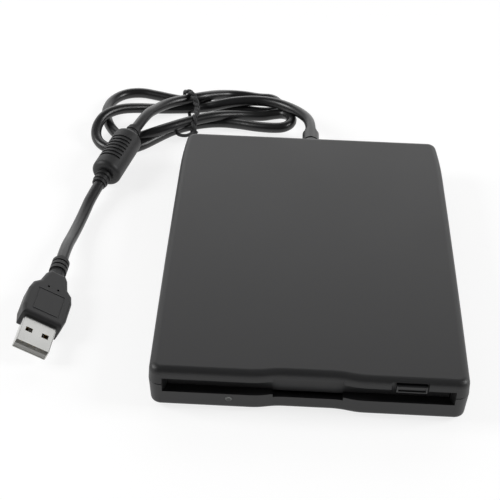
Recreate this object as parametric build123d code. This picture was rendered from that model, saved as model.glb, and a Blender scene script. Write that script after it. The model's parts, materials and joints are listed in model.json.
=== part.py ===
from build123d import *
import math
import os

# An external 3.5 inch floppy disk drive with a captive USB lead.  Millimetres.
# Origin: on the table under the middle of the case.  +X right seen from the
# front, +Y to the rear, +Z up.

# --- Case ---------------------------------------------------------------------
CASE_LENGTH = 142.0
CASE_WIDTH = 104.0            # where the sides bow out most
FRONT_WIDTH = 102.4
REAR_WIDTH = 101.2
WIDEST_FROM_REAR = 24.0
CASE_TOP = 17.0
FOOT_HEIGHT = 1.2             # gap under the case
PARTING_Z = 10.8              # joint between the two shells
SHELL_WALL = 1.5
SHELL_DRAFT = 3.5             # degrees, both ways from the parting line
FRONT_CORNER = 4.0
REAR_CORNER = 3.8
TOP_ROUND = 2.5
BOTTOM_ROUND = 1.8
SCOOP_DEPTH = 1.3             # the front is scooped back in the middle
SCOOP_HALF = 18.5
SCOOP_FLAT_HALF = 7.5
BEZEL_DEPTH = 3.6             # front wall, thick enough for the slot
PARTING_CHAMFER = 0.2
LIP_HEIGHT = 0.9              # locating lip of the bottom shell
LIP_CLEARANCE = 0.1
LIP_FROM_BEZEL = 4.0
SINK = 0.1                    # how far a raised form starts inside its wall

# --- Disk slot ----------------------------------------------------------------
SLOT_LOW = 7.8
SLOT_HIGH = 13.35
SLOT_END_WALL = 4.5           # from the end of the slot to the case's side
LEAD_IN_WIDTH = 1.2           # flare at each end of the slot
LEAD_IN_STRAIGHT = 0.3
LEAD_IN_DEPTH = 2.6
THUMB_WIDTH = 22.5            # notch in both lips of the slot
THUMB_DEPTH = 1.3
THUMB_RISE = 1.2

# --- Dust door ----------------------------------------------------------------
DOOR_GAP = 0.3                # behind the front wall
DOOR_THICKNESS = 1.0
DOOR_OVERLAP = 0.6            # how far it hangs below the slot
DOOR_TOP_GAP = 0.05
DOOR_SIDE_GAP = 0.2
DOOR_PIN_RADIUS = 0.4
DOOR_PIN_Z = 13.9
DOOR_PIN_REACH = 1.3          # how far the pin goes into each ear
DOOR_KNUCKLE_RADIUS = 0.65
DOOR_WEB_INSET = 0.15
KNUCKLE_LENGTH = 4.0
PIN_CLEARANCE = 0.05
EAR_WIDTH = 1.8
EAR_HALF_HEIGHT = 1.0
EAR_ROOT_DEPTH = 1.2
DOOR_SPRING_WIDTH = 2.2
DOOR_SPRING_WIRE = 0.1
DOOR_SPRING_PITCH = 0.28
DOOR_SPRING_TURNS = 6
DOOR_SPRING_ROOM = 0.85       # notch round the spring, from the pin's axis

# --- Eject button and slide -----------------------------------------------------
EJECT_TRAVEL = 4.0
BUTTON_FROM_SIDE = 18.65      # its middle, from the case's side
BUTTON_WIDTH = 9.9
BUTTON_LOW = 12.3
BUTTON_HIGH = 15.1
BUTTON_DEPTH = 2.0
BUTTON_ROUND = 0.35
BUTTON_LEFT_GAP = 1.5
BUTTON_RIGHT_GAP = 0.4
BUTTON_TOP_GAP = 0.9
BUTTON_PANEL_BORDER = 0.6
BUTTON_PANEL_DEPTH = 0.45
STEM_WIDTH = 8.0
STEM_CLEARANCE = 0.1
SLIDE_SHEET = 0.5
SLIDE_GAP = 0.5               # between carrier wall and slide rail
SLIDE_WALL_GAP = 0.4          # between slide rail and chassis wall
SLIDE_FLOOR_GAP = 0.5
SLIDE_FRONT_GAP = 0.3         # behind the bezel and the door's pivot, pressed in or out
SLIDE_RAIL_TOP = 11.8
SLIDE_RAIL_REAR_GAP = 14.0    # left rail, from the end of the chassis
SLIDE_RAIL_PAST_PIN = 8.0     # right rail, past the rear pin
SLIDE_PLATE_DEPTH = 3.0
SLIDE_COVER_GAP = 0.5
CROSS_BAR_SETBACK = 2.5
CROSS_BAR_DEPTH = 8.0
SPRING_FROM_WALL = 3.5
SPRING_RADIUS = 0.55
SPRING_WIRE = 0.15
SPRING_TURNS = 9
SPRING_LENGTH = 16.0          # from the cross bar to its tab
SPRING_TAB_HALF = 1.5
SPRING_TAB_THICKNESS = 0.6
SPRING_TAB_TOP = 6.0

# --- Status light ---------------------------------------------------------------
LED_FROM_SIDE = 25.9
LED_Z = 5.6
LED_LENS_RADIUS = 1.15
LED_LENS_ROUND = 0.5
LED_LENS_PROUD = 0.15
LED_BODY = 2.4
LED_BOARD_GAP = 0.1
LED_BOARD_HALF = 4.0
LED_BOARD_DEPTH = 4.2
LED_BOARD_TOP = 3.9

# --- Chassis, cover and disk carrier -----------------------------------------------
SHEET = 0.8                   # chassis steel
THIN_SHEET = 0.4              # carrier and cover steel
CHASSIS_SIDE_GAP = 0.7        # to the case's walls, with room for the cover's skirt
CHASSIS_FRONT_GAP = 6.9
CHASSIS_REAR_GAP = 11.0
CHASSIS_FLOOR = 3.4           # underside of the chassis floor
CHASSIS_TOP = 14.5
CHASSIS_REAR_TOP = 8.0
FLOOR_WINDOW_INSET = 13.6     # middle of a window, from the chassis wall
WINDOW_HALF = 8.0
FLOOR_WINDOW_BEFORE = 7.0     # reach before and behind the spindle
FLOOR_WINDOW_BEHIND = 25.0
COVER_SETBACK = 6.0
COVER_REAR_GAP = 1.0
COVER_SKIRT_LOW = PARTING_Z + 1.3
COVER_SLOT_HALF = 12.0
COVER_SLOT_FROM_HUB = 18.0
COVER_SLOT_REAR_GAP = 3.0
COVER_HOLE_INSET = 17.6
COVER_HOLE_FROM_HUB = 33.0
COVER_HOLE_RADIUS = 7.0
COVER_HUB_HOLE_RADIUS = 10.0
DISK_GAP = 4.5                # room for the disk inside the carrier
DISK_FLOOR = 8.7              # top of the carrier's rails
CARRIER_SETBACK = 0.7
CARRIER_LENGTH = 93.8
CARRIER_DROP = 2.0
RAIL_WIDTH = 7.5
CARRIER_WINDOW_INSET = 14.8
CARRIER_WINDOW_FRONT = 21.8
CARRIER_WINDOW_REAR = 10.0
CARRIER_HEAD_WINDOW = 32.0
CARRIER_HEAD_WINDOW_FROM_HUB = 17.0
CARRIER_HUB_HOLE_RADIUS = 14.0
PIN_RADIUS = 0.7
PIN_PLAY = 0.1
PIN_Z = 10.2
PIN_FROM_FRONT = (14.5, 70.5)

# --- Spindle ----------------------------------------------------------------------
HUB_FROM_FRONT = 47.5         # spindle axis, from the front of the chassis
ROTOR_RADIUS = 17.5
ROTOR_WALL = 0.6
ROTOR_ROOF = 6.2
ROTOR_FLOAT = 0.15            # gap over the motor board
MAGNET_THICKNESS = 1.4
HUB_RADIUS = 12.5
HUB_TOP = 6.9
SHAFT_RADIUS = 2.0
SHAFT_TOP = 8.6
SHAFT_CHAMFER = 0.5
RUNNING_CLEARANCE = 0.05
BEARING_RADIUS = 3.5
BEARING_FLOOR = 0.6
BEARING_ROOF_GAP = 0.7
SHAFT_END_GAP = 0.2
MOTOR_BOARD_MARGIN = 1.5
MOTOR_BOARD_TAB = (28.0, 6.0) # reach to the left, half its depth
COIL_COUNT = 9
COIL_RING_RADIUS = 10.2
COIL_LENGTH = 5.2
COIL_WIDTH = 3.6
COIL_HOLE = 1.1               # width of the winding all round
COIL_HEIGHT = 0.55
DRIVE_PIN_RADIUS = 0.7
DRIVE_PIN_OFFSET = 8.0
DRIVE_PIN_PROUD = 0.9

# --- Heads ----------------------------------------------------------------------
HEAD_FROM_HUB = 39.5          # radius of the outermost track
HEAD_SIZE = 3.2
HEAD_MARGIN = 0.6
LOWER_HEAD_TOP = 8.6
UPPER_HEAD_LOW = 13.15
UPPER_HEAD_HEIGHT = 1.6
GUIDE_ROD_RADIUS = 0.8
GUIDE_ROD_X = 10.0
GUIDE_ROD_Z = 5.6
GUIDE_ROD_HUB_GAP = 0.7
GUIDE_ROD_REAR_GAP = 2.0
ROD_CLAMP_HALF = 1.8
ROD_CLAMP_DEPTH = 2.0
ROD_CLAMP_COVER = 1.2
CARRIAGE_HALF = 7.5
CARRIAGE_LOW = 4.7
CARRIAGE_HIGH = 6.7
CARRIAGE_NOSE = 1.0
CARRIAGE_REAR_GAP = 7.6       # to the rear of the chassis
CARRIAGE_BLOCK_DEPTH = 4.0
SLEEVE_WALL = 0.55            # round the guide rods
SLEEVE_LENGTH = 5.0
SLEEVE_FROM_HEAD = 3.5
SLEEVE_FROM_REAR = 6.4
CARRIAGE_POST_TOP = 10.4
ARM_PIVOT_Z = 11.9
ARM_PIVOT_SETBACK = 2.0       # from the rear face of the carriage block
ARM_BARREL_RADIUS = 1.0
ARM_PIN_RADIUS = 0.5
ARM_HALF = 4.0
ARM_EAR_GAP = 0.3
ARM_EAR = 2.0
ARM_EAR_ABOVE = 1.1
ARM_THICKNESS = 0.5
NUT_HALF_HEIGHT = 2.4
NUT_PAST_AXIS = 2.6
NUT_FRONT_STEP = 0.5
NUT_REAR_STEP = 1.5
FLEX_WIDTH = 5.0
FLEX_THICKNESS = 0.2
FLEX_BEND = 1.5
FLEX_REACH = 3.2
FLEX_HIGH = 8.6
FLEX_LOW = 5.6

# --- Head motor -------------------------------------------------------------------
SCREW_AXIS_X = 20.0
SCREW_AXIS_Z = 9.4
LEAD_SCREW_RADIUS = 1.5
LEAD_SCREW_PITCH = 3.0
LEAD_SCREW_GROOVE = 0.25
LEAD_SCREW_LENGTH = 18.2      # of its thread
SCREW_JOURNAL_RADIUS = 0.7
SCREW_JOURNAL_LENGTH = 1.2
SCREW_JOURNAL_INTO_MOTOR = 3.0
STEPPER_LENGTH = 6.0
STEPPER_RADIUS = 4.8
STEPPER_ROUND = 0.5
STEPPER_BORE_RADIUS = 0.75
STEPPER_BORE_DEPTH = 3.5
STEPPER_SCREW_GAP = 1.0
BRACKET_HALF = 7.0
BRACKET_SHEET = 0.6
BRACKET_ABOVE_AXIS = 4.6
BRACKET_HOLE_RADIUS = 1.0
BEARING_ARM_HALF = 2.5
BEARING_ARM_SETBACK = 1.6     # before the screw's thread
BEARING_ARM_DEPTH = 1.2
BEARING_ARM_ABOVE_AXIS = 1.6  # stays below the lowered carrier

# --- Latch and sensors ----------------------------------------------------------------
LATCH_FROM_RAIL = 16.7
LATCH_REAR_GAP = 18.0
LATCH_POST_RADIUS = 1.2
LATCH_POST_ABOVE = 0.4
LATCH_SEAT_MARGIN = 0.9
LATCH_SEAT_GAP = 0.1
LATCH_BOSS_RADIUS = 3.0
LATCH_LOW = 9.4
LATCH_THICKNESS = 0.7
LATCH_LONG_ARM = ((0.0, 2.0), (0.0, -2.6), (16.5, -11.0), (18.5, -11.0), (18.5, -8.8))
LATCH_SHORT_ARM = ((0.0, -2.0), (0.0, 2.6), (-15.6, 4.6), (-15.6, 2.2))
SENSOR_FROM_FRONT = 18.5
SENSOR_INSET = 13.6           # from the chassis wall
SENSOR_HALF_WIDTH = 3.0
SENSOR_HALF_DEPTH = 2.0
SENSOR_TOP = 6.3
SENSOR_FLOOR = 0.6
PLUNGER_RADIUS = 0.9
PLUNGER_TOP = 7.3
PLUNGER_LIFT = 1.5            # room below it
PLUNGER_ROUND = 0.3

# --- Boards -----------------------------------------------------------------------------
BOARD_THICKNESS = 0.6         # under the spindle motor
STIFF_BOARD = 1.0             # control and USB boards
STANDOFF_HEIGHT = 0.8
STANDOFF_RADIUS = 1.4
STANDOFF_INSET = 2.5
CONTROL_BOARD_WALL_GAP = 1.6
CONTROL_BOARD_CLAMP_GAP = 3.2 # to the guide rods' clamps
CONTROL_BOARD_DEPTH = 20.5
CONTROL_BOARD_REAR_GAP = 2.5
CONTROL_BOARD_POST_GAP = 0.4  # round the latch's post
CONTROL_CHIPS = (             # x and y from the board's corner, width, depth, height
    (4.0, 10.0, 8.0, 8.0, 1.2),
    (4.0, 3.0, 3.5, 4.0, 0.8),
)
CONTROL_DRIVER = (-12.0, 11.0, 6.0, 6.0, 1.0)        # from its right corner
CONTROL_SMALL_PARTS = (-11.5, 5.0, 1.0, 1.8, 0.7)
CONTROL_SMALL_COUNT = 5
CONTROL_SMALL_STEP = 2.0
USB_BOARD_Z = 4.6
USB_BOARD_SCREW_GAP = 6.0
USB_BOARD_WIDTH = 30.0
USB_BOARD_DEPTH = 7.6
USB_BOARD_REAR_GAP = 2.4
USB_BOARD_PARTS = (           # x and y from the board's corner, width, depth, height
    (14.0, 0.8, 6.5, 6.2, 1.2),
    (22.5, 1.5, 4.5, 1.8, 1.6),
    (22.5, 5.0, 1.5, 1.0, 0.8),
    (25.5, 5.0, 1.5, 1.0, 0.8),
)
LEAD_CONNECTOR = (2.0, 1.0, 10.0, 5.0, 3.4)
LEAD_CONNECTOR_ROUND = 0.3
USB_POST_RADIUS = 1.8
USB_POST_INSETS = (4.0, 5.0)  # from the board's left and right ends
USB_POST_FROM_FRONT = 4.0

# --- Fasteners and feet -------------------------------------------------------------
FOOT_RADIUS = 4.5
FOOT_RECESS = 0.4
FOOT_ROUND = 0.4
FOOT_CLEARANCE = 0.1
FOOT_SIDE_INSET = 8.6
FOOT_END_INSET = 14.0
CASE_SCREW_SIDE_INSET = 6.6
CASE_SCREW_END_INSET = 5.5
MOUNT_SCREW_INSET = 7.6       # from the chassis wall
MOUNT_SCREW_FRONT = 30.5
MOUNT_SCREW_REAR = 14.0
BOSS_RADIUS = 2.6
MOUNT_BOSS_RADIUS = 3.6
SCREW_RADIUS = 1.0
SCREW_HEAD_RADIUS = 1.9
SCREW_HEAD_HEIGHT = 0.8
SCREW_HEAD_CHAMFER = 0.25
SCREW_HEAD_ROOM = 0.2
SCREW_CROSS_WIDTH = 0.4
SCREW_CROSS_DEPTH = 0.45
CASE_SCREW_SUNK = 0.4
MOUNT_SCREW_SUNK = 0.1
SCREW_HOLE_ROOF = 0.5
SCREW_TIP_GAP = 1.0

# --- USB lead -------------------------------------------------------------------------
CABLE_DIAMETER = 4.45
GLAND_Z = 9.6
GLAND_NECK_RADIUS = 2.8
GLAND_FLANGE_RADIUS = 4.2
GLAND_FLANGE = 1.5
GLAND_HOLE_DEPTH = 3.0
BOOT_RADIUS = 3.5
BOOT_LENGTH = 15.3
BOOT_COLLAR = (0.4, 1.2)      # how far it stands out, and its length
BOOT_RIB_START = 3.0
BOOT_RIB_COUNT = 2
BOOT_RIB_PITCH = 2.4
BOOT_GROOVE_WIDTH = 0.9
BOOT_GROOVE_DEPTH = 0.8
BOOT_BODY_END = 12.6
BOOT_TIP_NECK = (2.3, 0.9)    # radius and length
BOOT_TIP_RADIUS = 2.7
BEAD_RADIUS = 6.1
BEAD_LENGTH = 24.8
BEAD_ROUND = 2.2
BEAD_ROLL = 6.0              # it lies turned a little about the lead
BEAD_GROOVES = 7
BEAD_GROOVE_PITCH = 2.0
BEAD_GROOVE_WIDTH = 1.0
BEAD_GROOVE_DEPTH = 0.45
BEAD_GROOVE_SPAN = 9.0
BEAD_NECK = 6.0
BEAD_NECK_RADIUS = 2.8
BEAD_RINGS = ((1.6, 3.3), (4.0, 3.1))   # place along the neck, radius
BEAD_RING_WIDTH = 1.2
CORE_RADIUS = 4.8
CORE_LENGTH = 20.0
TIE_WIDTH = 2.0
TIE_THICKNESS = 0.8
TIE_SPAN = 38.0
TIE_HEIGHT = 9.8
TIE_LIFT = 0.05
TIE_TURN = 12.0
HANK_RIDGE_WIDTH = 14.0
PLUG_WIDTH = 16.0
PLUG_THICKNESS = 8.0
PLUG_BODY_LENGTH = 25.0
PLUG_NECK_END = 36.0
PLUG_NECK_RADIUS = 2.6
PLUG_RINGS = (29.8, 32.0, 34.2)     # places along the neck
PLUG_RING_RADIUS = 3.2
PLUG_RING_WIDTH = 1.5
PLUG_ROUND = 1.4
PLUG_ROLL = 27.0              # it lies on one long edge
PLUG_YAW = -2.6
PLUG_SIDE = ((0.8, 0.0), (0.0, 4.0), (0.0, 13.0), (0.8, 16.2), (2.8, 18.4), (3.9, 22.9))   # inset, place
PLUG_END_INSET = 5.1
PLUG_FRAME_HALF = 4.9
PLUG_FRAME_FROM = 2.8
PLUG_FRAME_TO = 13.8
PLUG_FRAME_LINE = 0.45
PLUG_FRAME_DEPTH = 0.15
PLUG_DOT_X = 1.8
PLUG_DOT_Y = 16.0
PLUG_DOT_RADIUS = 0.45
PLUG_DOT_DEPTH = 0.6
PLUG_SHELL_WIDTH = 12.0
PLUG_SHELL_THICKNESS = 4.5
PLUG_SHELL_LENGTH = 11.75
PLUG_SHELL_INSET = 6.0
PLUG_SHELL_WALL = 0.3
PLUG_SHELL_ROUND = 0.5
PLUG_HOLE_X = 2.9
PLUG_HOLE_WIDTH = 2.4
PLUG_HOLE_FROM = 4.9
PLUG_HOLE_LENGTH = 2.0
PLUG_CORE_DEPTH = 1.0
PLUG_TONGUE_SETBACK = 0.3
PLUG_TONGUE_TOP = -0.15
CONTACT_X = (-3.5, -1.0, 1.0, 3.5)
CONTACT_HALF = 0.5
CONTACT_SETBACK = 2.0
CONTACT_THICKNESS = 0.2

# Derived places used by more than one piece
FRONT_Y = -CASE_LENGTH / 2
REAR_Y = CASE_LENGTH / 2
WIDEST_Y = REAR_Y - WIDEST_FROM_REAR
BEZEL_BACK = FRONT_Y + BEZEL_DEPTH
CEILING = CASE_TOP - SHELL_WALL
FLOOR = FOOT_HEIGHT + SHELL_WALL
NARROWEST_HALF = min(FRONT_WIDTH, CASE_WIDTH, REAR_WIDTH) / 2
SLOT_HALF = FRONT_WIDTH / 2 - SLOT_END_WALL
SLOT_INNER_HALF = SLOT_HALF - LEAD_IN_WIDTH
DOOR_FRONT = BEZEL_BACK + DOOR_GAP
DOOR_PIN_Y = DOOR_FRONT + DOOR_THICKNESS / 2
BUTTON_X = FRONT_WIDTH / 2 - BUTTON_FROM_SIDE
LED_X = LED_FROM_SIDE - FRONT_WIDTH / 2
STEM_HIGH = BUTTON_HIGH
STEM_LOW = STEM_HIGH - SLIDE_SHEET

CHASSIS_HALF = NARROWEST_HALF - SHELL_WALL - CHASSIS_SIDE_GAP - SHEET
CHASSIS_FRONT = BEZEL_BACK + CHASSIS_FRONT_GAP
CHASSIS_REAR = REAR_Y - CHASSIS_REAR_GAP
CHASSIS_DECK = CHASSIS_FLOOR + SHEET
CARRIER_HALF = CHASSIS_HALF - SLIDE_WALL_GAP - SLIDE_SHEET - SLIDE_GAP - THIN_SHEET
CARRIER_FRONT = CHASSIS_FRONT + CARRIER_SETBACK
CARRIER_REAR = CARRIER_FRONT + CARRIER_LENGTH
CARRIER_TOP = DISK_FLOOR + DISK_GAP
COVER_FRONT = CHASSIS_FRONT + COVER_SETBACK
PIN_Y = tuple(CHASSIS_FRONT + y for y in PIN_FROM_FRONT)
RAIL_X = CARRIER_HALF + THIN_SHEET + SLIDE_GAP
SLIDE_LOW = CHASSIS_DECK + SLIDE_FLOOR_GAP
SLIDE_RAIL_END = CHASSIS_REAR - SLIDE_RAIL_REAR_GAP
CROSS_BAR_FRONT = CHASSIS_FRONT + CROSS_BAR_SETBACK
CROSS_BAR_REAR = CROSS_BAR_FRONT + CROSS_BAR_DEPTH
SPRING_X = CARRIER_HALF - SPRING_FROM_WALL
SPRING_TAB_Y = CROSS_BAR_REAR + SPRING_LENGTH

HUB_Y = CHASSIS_FRONT + HUB_FROM_FRONT
MOTOR_BOARD_TOP = CHASSIS_DECK + BOARD_THICKNESS
HEAD_Y = HUB_Y + HEAD_FROM_HUB
GUIDE_ROD_FRONT = HUB_Y + ROTOR_RADIUS + GUIDE_ROD_HUB_GAP
GUIDE_ROD_REAR = CHASSIS_REAR - GUIDE_ROD_REAR_GAP
CARRIAGE_BLOCK_REAR = CHASSIS_REAR - CARRIAGE_REAR_GAP
CARRIAGE_BLOCK_FRONT = CARRIAGE_BLOCK_REAR - CARRIAGE_BLOCK_DEPTH
ARM_PIVOT_Y = CARRIAGE_BLOCK_REAR - ARM_PIVOT_SETBACK
UPPER_HEAD_TOP = UPPER_HEAD_LOW + UPPER_HEAD_HEIGHT
STEPPER_REAR = CHASSIS_REAR - SHEET
STEPPER_FRONT = STEPPER_REAR - STEPPER_LENGTH
LEAD_SCREW_REAR = STEPPER_FRONT - STEPPER_SCREW_GAP
LEAD_SCREW_FRONT = LEAD_SCREW_REAR - LEAD_SCREW_LENGTH
LATCH_X = -RAIL_X + LATCH_FROM_RAIL
LATCH_Y = CHASSIS_REAR - LATCH_REAR_GAP
SENSOR_X = CHASSIS_HALF - SENSOR_INSET
SENSOR_Y = CHASSIS_FRONT + SENSOR_FROM_FRONT

FOOT_X = NARROWEST_HALF - FOOT_SIDE_INSET
FOOT_Y = REAR_Y - FOOT_END_INSET
CASE_SCREW_X = REAR_WIDTH / 2 - CASE_SCREW_SIDE_INSET
CASE_SCREW_Y = REAR_Y - CASE_SCREW_END_INSET
MOUNT_SCREW_X = CHASSIS_HALF - MOUNT_SCREW_INSET
MOUNT_SCREW_Y = (CHASSIS_FRONT + MOUNT_SCREW_FRONT, CHASSIS_REAR - MOUNT_SCREW_REAR)
CONTROL_BOARD_LEFT = -CHASSIS_HALF + CONTROL_BOARD_WALL_GAP
CONTROL_BOARD_RIGHT = -GUIDE_ROD_X - ROD_CLAMP_HALF - CONTROL_BOARD_CLAMP_GAP
CONTROL_BOARD_FRONT = CHASSIS_REAR - CONTROL_BOARD_REAR_GAP - CONTROL_BOARD_DEPTH
CONTROL_BOARD_LOW = CHASSIS_DECK + STANDOFF_HEIGHT
USB_BOARD_RIGHT = CASE_SCREW_X - USB_BOARD_SCREW_GAP
USB_BOARD_LEFT = USB_BOARD_RIGHT - USB_BOARD_WIDTH
USB_BOARD_FRONT = REAR_Y - USB_BOARD_REAR_GAP - USB_BOARD_DEPTH

CABLE_RADIUS = CABLE_DIAMETER / 2
PLUG_TILT = math.radians(PLUG_ROLL)
PLUG_CENTRE_Z = ((PLUG_WIDTH / 2 - PLUG_ROUND) * math.sin(PLUG_TILT)
                 + (PLUG_THICKNESS / 2 - PLUG_ROUND) * math.cos(PLUG_TILT) + PLUG_ROUND)


def from_rear(points):
    """Places given from the rear of the case, in the model's frame."""
    return [(x, REAR_Y + y, *z) for x, y, *z in points]


# Route of the lead where it isn't wound up, chosen by hand; y from the rear of the case
EXIT_ROUTE = from_rear([
    (0.0, BOOT_LENGTH, GLAND_Z),
    (0.0, BOOT_LENGTH + 7.5, GLAND_Z),
    (-2.4, BOOT_LENGTH + 15.1, 9.1),
    (-7.4, 37.7, 8.2),
    (-15.0, 43.3, 7.2),
    (-23.4, 44.8, 6.7),
])
TAIL_ROUTE = from_rear([
    (-56.4, 43.7, 6.8),
    (-62.4, 39.4, 7.4),
    (-67.6, 31.2, 9.1),
    (-71.5, 19.0, 11.5),
    (-86.0, -30.8, 5.1),
    (-88.2, -43.6, 3.6),
    (-89.8, -57.4, 4.2),
    (-90.3, -67.8, 6.2),
])
BEAD_AXIS_FROM, BEAD_AXIS_TO = TAIL_ROUTE[3], TAIL_ROUTE[4]
BEAD_TOP_Y = REAR_Y + 4.2           # upper face of the bead's body
HANK_EDGE = from_rear([
    (-95.5, 24.0), (-93.5, 40.0), (-88.0, 52.5), (-78.0, 58.2), (-63.0, 55.5),
    (-50.0, 56.5), (-34.0, 60.0), (-20.0, 57.5), (-8.5, 48.0), (-5.2, 39.0),
    (-8.0, 31.0), (-16.0, 26.8), (-30.0, 27.5), (-45.0, 25.8), (-55.0, 21.4),
    (-66.0, 14.0), (-78.0, 7.0), (-88.0, 6.0), (-94.0, 14.0),
])
HANK_RIDGE = from_rear([(-18.0, 47.2), (-63.0, 44.6)])
TIE_PLACE = from_rear([(-51.6, 39.2)])[0]
PLUG_PLACE = from_rear([(-91.9, -112.3)])[0]     # where the metal shell comes out of the grip

PARTS = {}


def keep(name, shape):
    """Store a finished piece under its node name."""
    PARTS[name] = shape


def block(x0, x1, y0, y1, z0, z1):
    """A box from its two corners."""
    return Pos((x0 + x1) / 2, (y0 + y1) / 2, (z0 + z1) / 2) * Box(x1 - x0, y1 - y0, z1 - z0)


def disc(radius, z0, z1, x=0.0, y=0.0):
    """An upright cylinder."""
    return Pos(x, y, (z0 + z1) / 2) * Cylinder(radius, z1 - z0)


def rod_y(radius, y0, y1, x, z):
    """A cylinder along Y."""
    return Pos(x, (y0 + y1) / 2, z) * Rot(90, 0, 0) * Cylinder(radius, y1 - y0)


def rod_x(radius, x0, x1, y, z):
    """A cylinder along X."""
    return Pos((x0 + x1) / 2, y, z) * Rot(0, 90, 0) * Cylinder(radius, x1 - x0)


def well(radius, x, y, z0=0.0, z1=CASE_TOP):
    """A cylinder to cut an upright hole with."""
    return disc(radius, z0, z1, x, y)


def both_sides(shape):
    """The shape and its mirror image across the middle plane."""
    return shape + mirror(shape, about=Plane.YZ)


def group(pieces):
    """Several separate solids in one node."""
    return Compound(children=[s for p in pieces for s in p.solids()])


def coil(radius, wire, pitch, turns):
    """A helical spring along Z, from z=0."""
    path = Helix(pitch=pitch, height=pitch * turns, radius=radius)
    section = Plane(origin=path @ 0, z_dir=path % 0) * Circle(wire)
    return sweep(section, path, is_frenet=True)


def screw_up(x, y, head_z, tip_z):
    """A pan head screw driven upwards, with a cross recess."""
    head = disc(SCREW_HEAD_RADIUS, head_z, head_z + SCREW_HEAD_HEIGHT, x, y)
    head = chamfer(head.edges().group_by(Axis.Z)[0], SCREW_HEAD_CHAMFER)
    shank = disc(SCREW_RADIUS, head_z + SCREW_HEAD_HEIGHT, tip_z, x, y)
    arm, half, top = SCREW_HEAD_RADIUS * 0.6, SCREW_CROSS_WIDTH / 2, head_z + SCREW_CROSS_DEPTH
    cross = (block(x - arm, x + arm, y - half, y + half, head_z, top)
             + block(x - half, x + half, y - arm, y + arm, head_z, top))
    return head + shank - cross


# --- Case -------------------------------------------------------------------------
def scoop_edges(half_front, front):
    """The front edge of the case, scooped back in the middle."""
    edge, flat, back = SCOOP_HALF, SCOOP_FLAT_HALF, front + SCOOP_DEPTH
    bend = ((edge + flat) / 2, (front + back) / 2)
    bend_left = (-bend[0], bend[1])
    return [
        Line((-half_front, front), (-edge, front)),
        TangentArc((-edge, front), bend_left, tangent=(1, 0)),
        TangentArc((-flat, back), bend_left, tangent=(-1, 0)),
        Line((-flat, back), (flat, back)),
        TangentArc((flat, back), bend, tangent=(1, 0)),
        TangentArc((edge, front), bend, tangent=(-1, 0)),
        Line((edge, front), (half_front, front)),
    ]


def case_plan(inset=0.0, scooped=True):
    """Outline of the case from above, drawn in by inset."""
    front, rear = FRONT_Y + inset, REAR_Y - inset
    half_front, half_mid, half_rear = (w / 2 - inset for w in (FRONT_WIDTH, CASE_WIDTH, REAR_WIDTH))
    outline = [Line((half_rear, rear), (-half_rear, rear))]
    outline += (scoop_edges(half_front, front) if scooped
                else [Line((-half_front, front), (half_front, front))])
    for side in (-1, 1):
        widest = (side * half_mid, WIDEST_Y)
        outline.append(TangentArc(widest, (side * half_front, front), tangent=(0, -1)))
        outline.append(TangentArc(widest, (side * half_rear, rear), tangent=(0, 1)))
    face = make_face(outline)
    face = fillet([v for v in face.vertices() if v.Y > rear - 0.01], REAR_CORNER - inset)
    front_ends = [v for v in face.vertices() if v.Y < front + 0.01 and abs(v.X) > SCOOP_HALF + 1]
    return fillet(front_ends, FRONT_CORNER - inset)


def half_extrusion(plan, to_z):
    """The plan drawn up from z=0 by the height of a half, leaning in by the draft."""
    return extrude(plan, amount=abs(to_z - PARTING_Z), taper=SHELL_DRAFT)


def from_parting(solid, to_z):
    """The solid set on the parting plane, turned down for the lower half."""
    return Pos(0, 0, PARTING_Z) * (solid if to_z > PARTING_Z else mirror(solid, about=Plane.XY))


def shell_half(to_z, rounding):
    """One solid half of the case, from the parting line to to_z."""
    body = half_extrusion(case_plan(), to_z)
    body = fillet(body.edges().group_by(Axis.Z)[-1], rounding)
    body = chamfer(body.edges().group_by(Axis.Z)[0], PARTING_CHAMFER)
    return from_parting(body, to_z)


def shell_room(to_z):
    """The hollow inside one half."""
    room = from_parting(half_extrusion(case_plan(SHELL_WALL, scooped=False), to_z), to_z)
    return room & block(-CASE_WIDTH, CASE_WIDTH, BEZEL_BACK, REAR_Y, 0, CASE_TOP)


def lip_ring(clearance):
    """The locating lip along the sides and the rear."""
    wall = Pos(0, 0, PARTING_Z) * (case_plan(SHELL_WALL / 2 + clearance, scooped=False)
                                   - case_plan(SHELL_WALL, scooped=False))
    ring = extrude(wall, amount=LIP_HEIGHT - clearance) + Pos(0, 0, -1) * extrude(wall, amount=1)
    return ring & block(-CASE_WIDTH, CASE_WIDTH, BEZEL_BACK + LIP_FROM_BEZEL, REAR_Y, 0, CASE_TOP)


def slot_cut():
    """The disk slot with its lead-in at both ends, and the notch for the fingers."""
    straight, deep = FRONT_Y + LEAD_IN_STRAIGHT, FRONT_Y + LEAD_IN_DEPTH
    front, back = FRONT_Y - 1, BEZEL_BACK + 1
    outline = Polyline((-SLOT_HALF, front), (SLOT_HALF, front), (SLOT_HALF, straight), (SLOT_INNER_HALF, deep),
                       (SLOT_INNER_HALF, back), (-SLOT_INNER_HALF, back), (-SLOT_INNER_HALF, deep),
                       (-SLOT_HALF, straight), close=True)
    slot = extrude(Pos(0, 0, SLOT_LOW) * make_face(outline), amount=SLOT_HIGH - SLOT_LOW)
    return slot + block(-THUMB_WIDTH / 2, THUMB_WIDTH / 2, front, back, SLOT_LOW - THUMB_DEPTH,
                        SLOT_HIGH + THUMB_RISE)


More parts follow.
